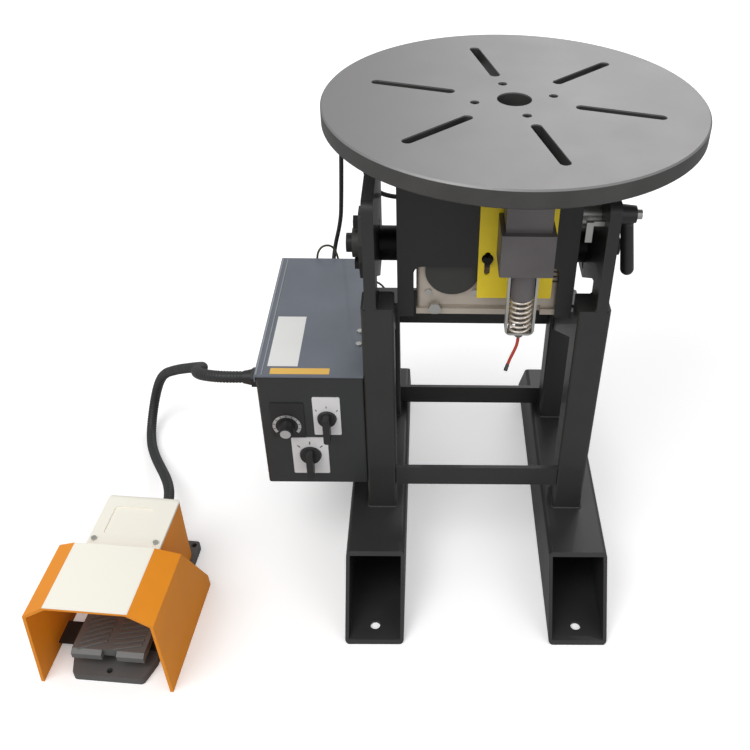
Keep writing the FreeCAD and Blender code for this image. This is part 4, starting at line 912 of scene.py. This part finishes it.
class Studio:
    """Floor, world, lights and camera."""

    POSITION = (-0.07291, -1.01725, 1.07718)
    RIGHT = (0.99983193, -0.00718303, 0.01686768)
    UP = (-0.00889651, 0.61437069, 0.78896737)
    BACK = (-0.01603018, -0.78898483, 0.61420353)
    LENS, SENSOR = 43.717, 36.0
    SHIFT = (-0.0867, -0.0268)
    FLOOR_SIZE = 12.0
    # Distance from the middle, m, and how strongly the floor glows to the camera there.
    GLOW_NEAR, GLOW_FAR = (0.9, 0.26), (2.6, 0.60)
    LIGHT_STRENGTH, SEEN_STRENGTH = 0.55, 1.0
    AIM = (-0.1, 0, 0.3)
    # Name, place in m, side in m and watts of each lamp.
    LAMPS = (("key", (-1.2, -1.2, 2.4), 1.6, 30), ("fill", (1.6, -1.6, 1.4), 1.6, 10),
             ("rim", (0.6, 1.9, 1.9), 1.4, 13))

    @staticmethod
    def pale_material(name: str) -> bpy.types.Material:
        """White to the camera and in reflections, with the object's shadow kept.

        Args:
            name: Name of the material.

        Returns:
            The material.
        """
        material = bpy.data.materials.new(name)
        material.use_nodes = True
        tree, links = material.node_tree, material.node_tree.links
        shader = tree.nodes["Principled BSDF"]
        shader.inputs["Roughness"].default_value = 0.9
        shader.inputs["Specular IOR Level"].default_value = 0.1
        path = add_node(tree, "LightPath")
        mix = add_node(tree, "Mix")
        mix.data_type = "RGBA"
        mix.inputs["A"].default_value = (0.55, 0.55, 0.55, 1)
        mix.inputs["B"].default_value = (0.98, 0.98, 0.98, 1)
        shader.inputs["Emission Color"].default_value = (1, 1, 1, 1)
        place = add_node(tree, "TexCoord")
        away = add_node(tree, "VectorMath", "LENGTH")
        links.new(place.outputs["Object"], away.inputs[0])
        fade = add_node(tree, "MapRange")
        for end, (distance, strength) in (("Min", Studio.GLOW_NEAR), ("Max", Studio.GLOW_FAR)):
            fade.inputs[f"From {end}"].default_value = distance
            fade.inputs[f"To {end}"].default_value = strength
        links.new(away.outputs["Value"], fade.inputs["Value"])
        glow = add_node(tree, "Math", "MULTIPLY")
        links.new(path.outputs["Is Camera Ray"], glow.inputs[0])
        links.new(fade.outputs["Result"], glow.inputs[1])
        links.new(glow.outputs[0], shader.inputs["Emission Strength"])
        links.new(path.outputs["Is Camera Ray"], mix.inputs["Factor"])
        links.new(mix.outputs["Result"], shader.inputs["Base Color"])
        return material

    def floor(self) -> None:
        """A large plain floor at z = 0."""
        mesh = bmesh.new()
        bmesh.ops.create_grid(mesh, x_segments=1, y_segments=1, size=self.FLOOR_SIZE)
        data = bpy.data.meshes.new("floor")
        mesh.to_mesh(data)
        mesh.free()
        floor = bpy.data.objects.new("floor", data)
        bpy.context.scene.collection.objects.link(floor)
        data.materials.append(self.pale_material("floor_pale"))

    def world(self) -> None:
        """A white surround, plainer for lighting than for the camera."""
        world = bpy.data.worlds.new("surround")
        world.use_nodes = True
        bpy.context.scene.world = world
        tree, links = world.node_tree, world.node_tree.links
        back = tree.nodes["Background"]
        back.inputs["Color"].default_value = (1, 1, 1, 1)
        path = add_node(tree, "LightPath")
        strength = add_node(tree, "MapRange")
        strength.inputs["To Min"].default_value = self.LIGHT_STRENGTH
        strength.inputs["To Max"].default_value = self.SEEN_STRENGTH
        links.new(path.outputs["Is Camera Ray"], strength.inputs["Value"])
        links.new(strength.outputs["Result"], back.inputs["Strength"])

    @staticmethod
    def lamp(name: str, where: Point, size: float, power: float) -> None:
        """One soft area lamp aimed at the object.

        Args:
            name: Name of the lamp.
            where: Its place, m.
            size: Side of its square, m.
            power: Watts.
        """
        data = bpy.data.lights.new(name, "AREA")
        data.shape = "SQUARE"
        data.size = size
        data.energy = power
        lamp = bpy.data.objects.new(name, data)
        lamp.location = where
        aim = Vector(Studio.AIM) - Vector(where)
        lamp.rotation_euler = aim.to_track_quat("-Z", "Y").to_euler()
        bpy.context.scene.collection.objects.link(lamp)

    def camera(self) -> None:
        """The camera at the photograph's place and angle."""
        data = bpy.data.cameras.new("view")
        data.lens, data.sensor_width = self.LENS, self.SENSOR
        data.shift_x, data.shift_y = self.SHIFT
        camera = bpy.data.objects.new("view", data)
        turn = Matrix((self.RIGHT, self.UP, self.BACK)).transposed().to_4x4()
        camera.matrix_world = Matrix.Translation(self.POSITION) @ turn
        bpy.context.scene.collection.objects.link(camera)
        bpy.context.scene.camera = camera

    def build(self) -> None:
        """Set up the whole stage."""
        bpy.context.scene.view_settings.view_transform = "Standard"
        self.floor()
        self.world()
        for name, where, size, power in self.LAMPS:
            self.lamp(name, where, size, power)
        self.camera()


def dress_solids(paints: Paints) -> None:
    """Give every CAD node the material of its slot.

    Args:
        paints: The finishes.
    """
    for part in frame["record"]["subparts"]:
        node = frame["nodes"][part["node"]]
        material = paints.get(SPECIAL.get(part["node"], part["material_slot"]))
        if not node.material_slots:
            node.data.materials.append(material)
        for place in node.material_slots:
            place.material = material


def main() -> None:
    """Build the scene."""
    logging.basicConfig(level=logging.INFO)
    paints = Paints()
    maker = Maker(paints)
    dress_solids(paints)
    Cords(maker).build()
    Springs(maker).build()
    Details(maker).build()
    Studio().build()
    LOG.info("scene built")


if __name__ == "__main__":
    main()
